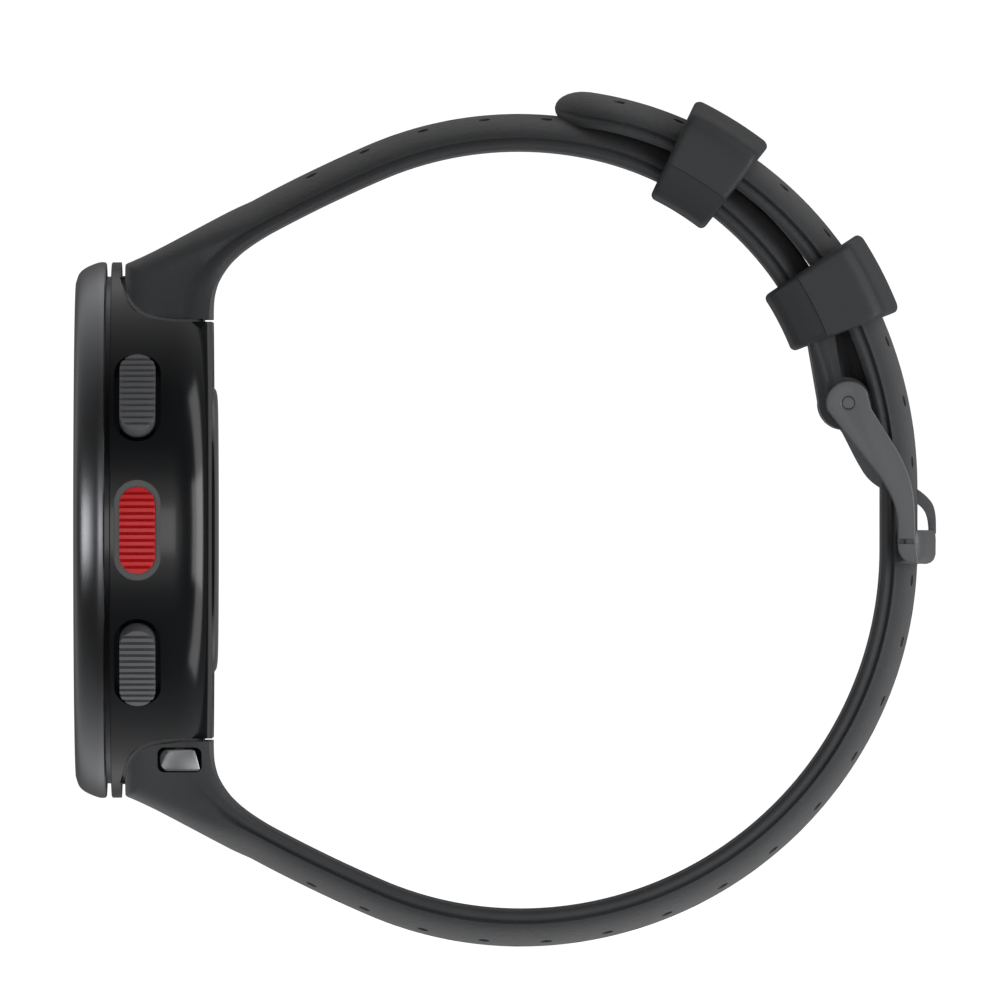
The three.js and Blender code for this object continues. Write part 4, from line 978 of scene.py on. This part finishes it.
def over_tail(*points):
    """Turns points given as (run from the tongue's hole, lift off the tail) into (depth, height)."""
    found = []
    for run, lift in points:
        inner, outward = on_route("long", TONGUE_STATION + run)
        place = inner + outward * lift
        found.append((place.x, -place.y))
    return found


# A thin hard coat over blasted steel: dark grey, with only a soft metal glint.
coat, coat_shader = new_finish("stainless steel with dark grey vapour coat", "#626365", 0.45, metallic=0.4)
grain(coat, coat_shader, 0.06, 0.0015, spread=0.04)

arm_edge = smooth_through(over_tail(
    (1.5, -0.1), (-0.27, 0.89), (-2.1, 1.4), (-4.3, 1.42), (-5.1, 1.62), (-5.65, 2.2), (-5.8, 2.95)), 4)
arm_back = smooth_through(over_tail(
    (-3.3, 2.92), (-0.77, 2.83), (0.8, 2.57), (2.2, 2.11), (3.6, 1.5), (5.3, 0.65), (7.2, -0.12)), 4)
arm_end = [(pin_centre.y + ARM_END_RADIUS * math.cos(math.radians(a)),
            pin_centre.z + ARM_END_RADIUS * math.sin(math.radians(a))) for a in range(30, 201, 10)]
arm_outline = arm_edge + over_tail((-5.8, 3.2), (-3.8, 2.95)) + arm_back + arm_end

bar_half = [(0, BAR_LOW)]
for step in range(1, BAR_STEPS + 1):
    across = ARM_INNER * step / BAR_STEPS
    bar_half.append((across, BAR_LOW - BAR_DROP * (across / ARM_INNER) ** 2))
under_points = len(bar_half)
bar_half += smooth_through([
    (ARM_OUTER - 0.3, BAR_LOW - 1.4), (ARM_OUTER - 0.3, BAR_LOW - 0.5), (ARM_INNER - 0.4, 4.0), (7.6, 4.4),
    (4, 4.66), (0, 4.75)], 4)
bar_rings = []
for share, drop in BAR_ROUNDING:
    inner, outward = on_route("long", BAR_START + BAR_LENGTH * share)
    half_ring = [(x, lift - (drop if i >= under_points else 0)) for i, (x, lift) in enumerate(bar_half)]
    ring = half_ring + [(-x, lift) for x, lift in reversed(half_ring) if x > 0]
    places = [inner + outward * lift for x, lift in ring]
    bar_rings.append([(x, place.x, -place.y) for (x, lift), place in zip(ring, places)])
buckle = swept("buckle_bow", bar_rings)
notch = slab("notch_tool", over_tail((-4.65, 2), (-4.65, 6), (-2, 6), (-2, 2)),
             -TONGUE_HALF_WIDTH - 0.4, TONGUE_HALF_WIDTH + 0.4)
carve(buckle, notch)
round_edges(buckle, 0.12, 3, 50)
for side in (1, -1):
    low, high = sorted((side * ARM_INNER, side * ARM_OUTER))
    arm = slab("arm", arm_outline, low, high)
    carve(arm, rod("eye_tool", RIVET_RADIUS + RIVET_PLAY, low - 1, high + 1, pin_centre.y, pin_centre.z))
    relief_ends = sorted((side * (ARM_OUTER - ARM_SLOT_DEPTH), side * 2 * ARM_OUTER))
    relief_side = over_tail((-3.75, 1.0), (-3.75, 2.7), (-4.2, 2.8), (-4.2, 1.0))
    relief = slab("relief_tool", relief_side, *relief_ends)
    round_edges(arm, 0.14, 3, 45)
    carve(arm, relief)
    carve(buckle, arm, "UNION")
finished(buckle, coat, 35)
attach(buckle, "buckle_frame")
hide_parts("buckle_frame")

tongue_low = smooth_through([(pin_centre.y - 1.45, pin_centre.z - 0.4), *over_tail(
    (5.0, -2.6), (2.7, -1.75), (1.2, -0.85), (0.2, 0.6), (-0.55, 2.6), (-1.15, 3.55), (-2.0, 4.0),
    (-3.35, 4.15))], 4)
tongue_back = smooth_through(over_tail(
    (-3.35, 4.75), (-1.7, 4.7), (-0.6, 4.3), (0.45, 3.1), (1.05, 1.6), (1.7, 0.45), (3.4, -0.55),
    (6.2, -0.95)), 4)
tongue = slab("buckle_prong", [*tongue_low, *tongue_back, (pin_centre.y, pin_centre.z)],
              -TONGUE_HALF_WIDTH, TONGUE_HALF_WIDTH)
carve(tongue, rod("eye", PIN_RADIUS + TONGUE_EYE_WALL, -TONGUE_HALF_WIDTH, TONGUE_HALF_WIDTH,
                  pin_centre.y, pin_centre.z), "UNION")
carve(tongue, rod("eye_tool", PIN_RADIUS + 0.08, -2, 2, pin_centre.y, pin_centre.z))
round_edges(tongue, 0.16, 3, 45)
finished(tongue, coat, 40)
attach(tongue, "buckle_tongue")
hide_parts("buckle_tongue")

pin = rod("pivot_pin", RIVET_RADIUS, -ARM_OUTER, ARM_OUTER, pin_centre.y, pin_centre.z, 48)
round_edges(pin, 0.06, 3)
pin_half = ARM_INNER - 0.1
carve(pin, rod("pin_body", PIN_RADIUS, -pin_half, pin_half, pin_centre.y, pin_centre.z, 48), "UNION")
finished(pin, coat, 40)
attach(pin, "watch")
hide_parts("buckle_pin")

# ---- Release levers and spring bars -------------------------------------
# Each spring bar is a steel tube with one fixed tip and one sliding tip. The sliding tip
# carries a pressed thumb lever, polished, which shows in a pocket of the strap end.

# Tumbled after pressing: bright, with soft reflections and no sharp image.
polished, polished_shader = new_finish("polished stainless steel", "#c2c4c6", 0.34, metallic=1.0)
grain(polished, polished_shader, 0.25, 0.0006, spread=0.05)
LEVER_SLANT = 0.27
KNOB_INNER = 11.7
TIP_RADIUS, TIP_START = 0.6, 2.5
for name, across, side in (("lower", 1, -1), ("upper", -1, 1)):
    low, high = span(f"release_lever_{name}")
    knob_outer = max(abs(low.x), abs(high.x))
    front, back = low.y, high.y
    shape = smooth_through([
        (front + 0.5, 20.15), (front + 0.08, 19.75), (front + 0.05, 18.75), (front + 0.5, 18.32)], 3)
    shape += [(back - 0.75, 18.3), (back - 0.4, 18.42), (back, 20.0), (back - 0.15, 20.15)]
    ends = sorted((across * KNOB_INNER, across * knob_outer))
    lever = slab(f"lever_{name}", [(depth, side * height) for depth, height in shape], *ends)
    for vertex in lever.data.vertices:
        if abs(vertex.co.x) > knob_outer - 0.01:
            vertex.co.x -= across * LEVER_SLANT * (back - vertex.co.y)
    round_edges(lever, 0.28, 4, 30)
    rod_ends = sorted((across * TIP_START, across * (KNOB_INNER + 0.3)))
    carve(lever, rod("tip", TIP_RADIUS, *rod_ends, BAR_DEPTH, side * BAR_HEIGHT, 32), "UNION")
    finished(lever, polished, 40)
    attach(lever, f"release_lever_{name}")
    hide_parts(f"release_lever_{name}")

# ---- Pieces inside and fasteners ----------------------------------------
# These keep their CAD shape: stamped, moulded or bought-in parts that show only through a
# gap, or when the watch is taken apart. Each gets the finish of its real material.

# Each is named for its stock material: title, colour, roughness, metallic, grain size and depth in
# millimetres. The grain breaks up the light, from the foil's creases to the chip's sanded look.
INNER_FINISHES = {
    "steel": ("turned stainless steel", "#a5a7aa", 0.3, 1.0, 0.1, 0.002),
    "contact_gold": ("gold-plated contact", "#d9b15a", 0.22, 1.0, 0.1, 0.001),
    "seal_rubber": ("nitrile seal rubber", "#141414", 0.75, 0.0, 0.15, 0.004),
    "circuit_board": ("green solder mask", "#1f5a3c", 0.45, 0.0, 0.4, 0.006),
    "battery_foil": ("aluminium laminate pouch", "#8d9094", 0.38, 0.8, 1.2, 0.02),
    "antenna_copper": ("plated copper antenna", "#b8754c", 0.35, 1.0, 0.2, 0.002),
    "chip_plastic": ("moulded chip epoxy", "#1c1d20", 0.6, 0.0, 0.08, 0.003),
}
INNER_NODES = {
    "steel": ["spring_bar_lower", "spring_bar_upper", "radio_shield", "vibration_motor"]
             + [f"cover_screw_{i}" for i in range(1, 5)],
    "contact_gold": [f"charging_contact_{i}" for i in range(1, 5)],
    "seal_rubber": ["cover_seal"] + [f"{name}_button_seal" for name in BUTTON_PLACES],
    "circuit_board": ["main_board", "sensor_board"],
    "battery_foil": ["battery"],
    "antenna_copper": ["gnss_antenna"],
    "chip_plastic": ["processor_chip"] + [f"{name}_switch" for name in BUTTON_PLACES],
}
for slot_name, (title, colour, roughness, metallic, size, depth) in INNER_FINISHES.items():
    finish, shader = new_finish(title, colour, roughness, metallic=metallic)
    grain(finish, shader, size, depth, spread=0.06)
    for node_name in INNER_NODES[slot_name]:
        frame["nodes"][node_name].data.materials.clear()
        frame["nodes"][node_name].data.materials.append(finish)
